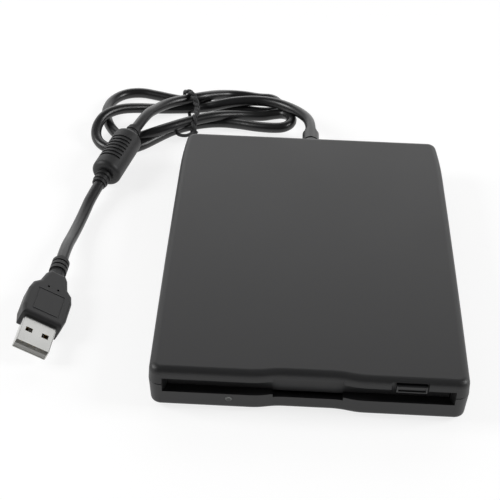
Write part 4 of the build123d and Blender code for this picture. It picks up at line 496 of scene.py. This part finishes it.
@dataclass
class Studio:
    """Camera, soft light and a plain white floor."""

    azimuth: float = 1.6100
    elevation: float = 37.7127
    roll: float = 1.6763
    distance: float = 447.7029
    target: tuple[float, float] = (-22.2279, 15.0016)
    lens: float = 84.6330
    sensor: float = 36.0
    nearest: float = 0.01                           # that the camera sees, in metres
    floor_half: float = 2500.0
    floor_paint: str = "8c8c8c"
    floor_glow: float = 0.8                         # on top of the paint, for the camera and reflections
    lamp_side: float = 850.0                        # to the left and to the right
    lamp_height: float = 570.0
    lamp_size: float = 400.0
    lamp_watts: float = 5.0
    dim_towards: Point = (0.0, -0.292, 0.956)       # middle of the dim part of the surround
    dim_from: tuple[float, float] = (0.18, 0.58)    # cosine of its outer and its inner edge
    levels: tuple[float, float] = (1.9, 0.12)       # of the bright and the dim part
    side_from: tuple[float, float] = (0.30, 0.70)   # how far to a side the surround starts and ends to fade
    side_level: float = 0.35                        # what is left of it there

    def camera(self) -> None:
        """Puts the camera where the case, the plug and the lead line up with their real view."""
        az, el, roll = (math.radians(a) for a in (self.azimuth, self.elevation, self.roll))
        back = Vector((math.sin(az) * math.cos(el), -math.cos(az) * math.cos(el), math.sin(el)))
        right = Vector((math.cos(az), math.sin(az), 0))
        up = back.cross(right)
        side = right * math.cos(roll) + up * math.sin(roll)
        top = up * math.cos(roll) - right * math.sin(roll)
        place = Vector((*self.target, 0)) * MM + back * self.distance * MM
        data = bpy.data.cameras.new("camera")
        data.lens, data.sensor_width, data.clip_start = self.lens, self.sensor, self.nearest
        camera = bpy.data.objects.new("camera", data)
        camera.matrix_world = Matrix.Translation(place) @ Matrix((side, top, back)).transposed().to_4x4()
        bpy.context.scene.collection.objects.link(camera)
        bpy.context.scene.camera = camera

    def world(self) -> None:
        """A white surround, bright low behind and in front, dim overhead and at the sides."""
        world = bpy.data.worlds.new("surround")
        world.use_nodes = True
        tree = world.node_tree
        tree.nodes.clear()
        way = add_node(tree, "ShaderNodeTexCoord").outputs["Generated"]
        facing = add_node(tree, "ShaderNodeVectorMath", {1: self.dim_towards}, {0: way},
                          operation="DOT_PRODUCT").outputs["Value"]
        low, high = self.dim_from
        bright, dim = self.levels
        level = add_node(tree, "ShaderNodeMapRange",
                         {"From Min": low, "From Max": high, "To Min": bright, "To Max": dim},
                         {"Value": facing}, interpolation_type="SMOOTHSTEP").outputs["Result"]
        across = add_node(tree, "ShaderNodeSeparateXYZ", None, {0: way}).outputs["X"]
        across = add_node(tree, "ShaderNodeMath", None, {0: across}, operation="ABSOLUTE").outputs[0]
        fade_from, fade_to = self.side_from
        fade = add_node(tree, "ShaderNodeMapRange",
                        {"From Min": fade_from, "From Max": fade_to, "To Min": 1.0,
                         "To Max": self.side_level},
                        {"Value": across}, interpolation_type="SMOOTHSTEP").outputs["Result"]
        level = add_node(tree, "ShaderNodeMath", None, {0: level, 1: fade}, operation="MULTIPLY").outputs[0]
        seen = add_node(tree, "ShaderNodeLightPath").outputs["Is Camera Ray"]
        strength = add_node(tree, "ShaderNodeMath", None, {0: level, 1: seen},
                            operation="MAXIMUM").outputs[0]
        glow = add_node(tree, "ShaderNodeBackground", {"Color": linear(WHITE)}, {"Strength": strength})
        add_node(tree, "ShaderNodeOutputWorld", None, {"Surface": glow.outputs[0]})
        bpy.context.scene.world = world

    def floor(self) -> None:
        """A white floor that keeps the object's soft shadow."""
        mesh = bpy.data.meshes.new("floor")
        shape = bmesh.new()
        bmesh.ops.create_grid(shape, x_segments=1, y_segments=1, size=self.floor_half * MM)
        shape.to_mesh(mesh)
        shape.free()
        floor = bpy.data.objects.new("floor", mesh)
        bpy.context.scene.collection.objects.link(floor)
        material = bpy.data.materials.new("studio_floor")
        material.use_nodes = True
        tree = material.node_tree
        tree.nodes.clear()
        paint = add_node(tree, "ShaderNodeBsdfDiffuse", {"Color": linear(self.floor_paint)})
        path = add_node(tree, "ShaderNodeLightPath")
        seen = add_node(tree, "ShaderNodeMath", None,
                        {0: path.outputs["Is Camera Ray"], 1: path.outputs["Is Glossy Ray"]},
                        operation="MAXIMUM").outputs[0]
        seen = add_node(tree, "ShaderNodeMath", None, {0: seen, 1: path.outputs["Is Transmission Ray"]},
                        operation="MAXIMUM").outputs[0]
        lift = add_node(tree, "ShaderNodeMath", {1: self.floor_glow}, {0: seen},
                        operation="MULTIPLY").outputs[0]
        glow = add_node(tree, "ShaderNodeEmission", {"Color": linear(WHITE)}, {"Strength": lift})
        both = add_node(tree, "ShaderNodeAddShader", None, {0: paint.outputs[0], 1: glow.outputs[0]})
        add_node(tree, "ShaderNodeOutputMaterial", None, {"Surface": both.outputs[0]})
        mesh.materials.append(material)

    def lamp(self, name: str, x_mm: float) -> None:
        """A square soft lamp that faces the object.

        Args:
            name: the lamp's name.
            x_mm: how far to the right it hangs.
        """
        data = bpy.data.lights.new(name, "AREA")
        data.size, data.energy = self.lamp_size * MM, self.lamp_watts
        lamp = bpy.data.objects.new(name, data)
        lamp.location = Vector((x_mm, 0, self.lamp_height)) * MM
        aim = Vector((0, 0, 0)) - lamp.location
        lamp.rotation_euler = aim.to_track_quat("-Z", "Y").to_euler()
        bpy.context.scene.collection.objects.link(lamp)

    def build(self) -> None:
        """Makes the whole studio."""
        self.camera()
        self.world()
        self.floor()
        self.lamp("right", self.lamp_side)
        self.lamp("left", -self.lamp_side)
        bpy.context.scene.view_settings.view_transform = "Standard"


def main() -> None:
    """Builds the studio and every piece, in order."""
    logging.basicConfig(level=logging.INFO, format="%(name)s %(message)s")
    Studio().build()
    wardrobe = Wardrobe()
    wardrobe.dress_frame()
    tie = TwistTie().build(wardrobe)
    log.info("tie of %d pieces built", len(tie))
    carried = [frame["nodes"][n] for n in ("ferrite_overmold", "ferrite_core", "plug_overmold", "plug_shell",
                                           "plug_tongue", "plug_contacts", "cable_gland")]
    Lead().build(wardrobe, carried + tie)
    log.info("lead built")


if __name__ == "__main__":
    main()
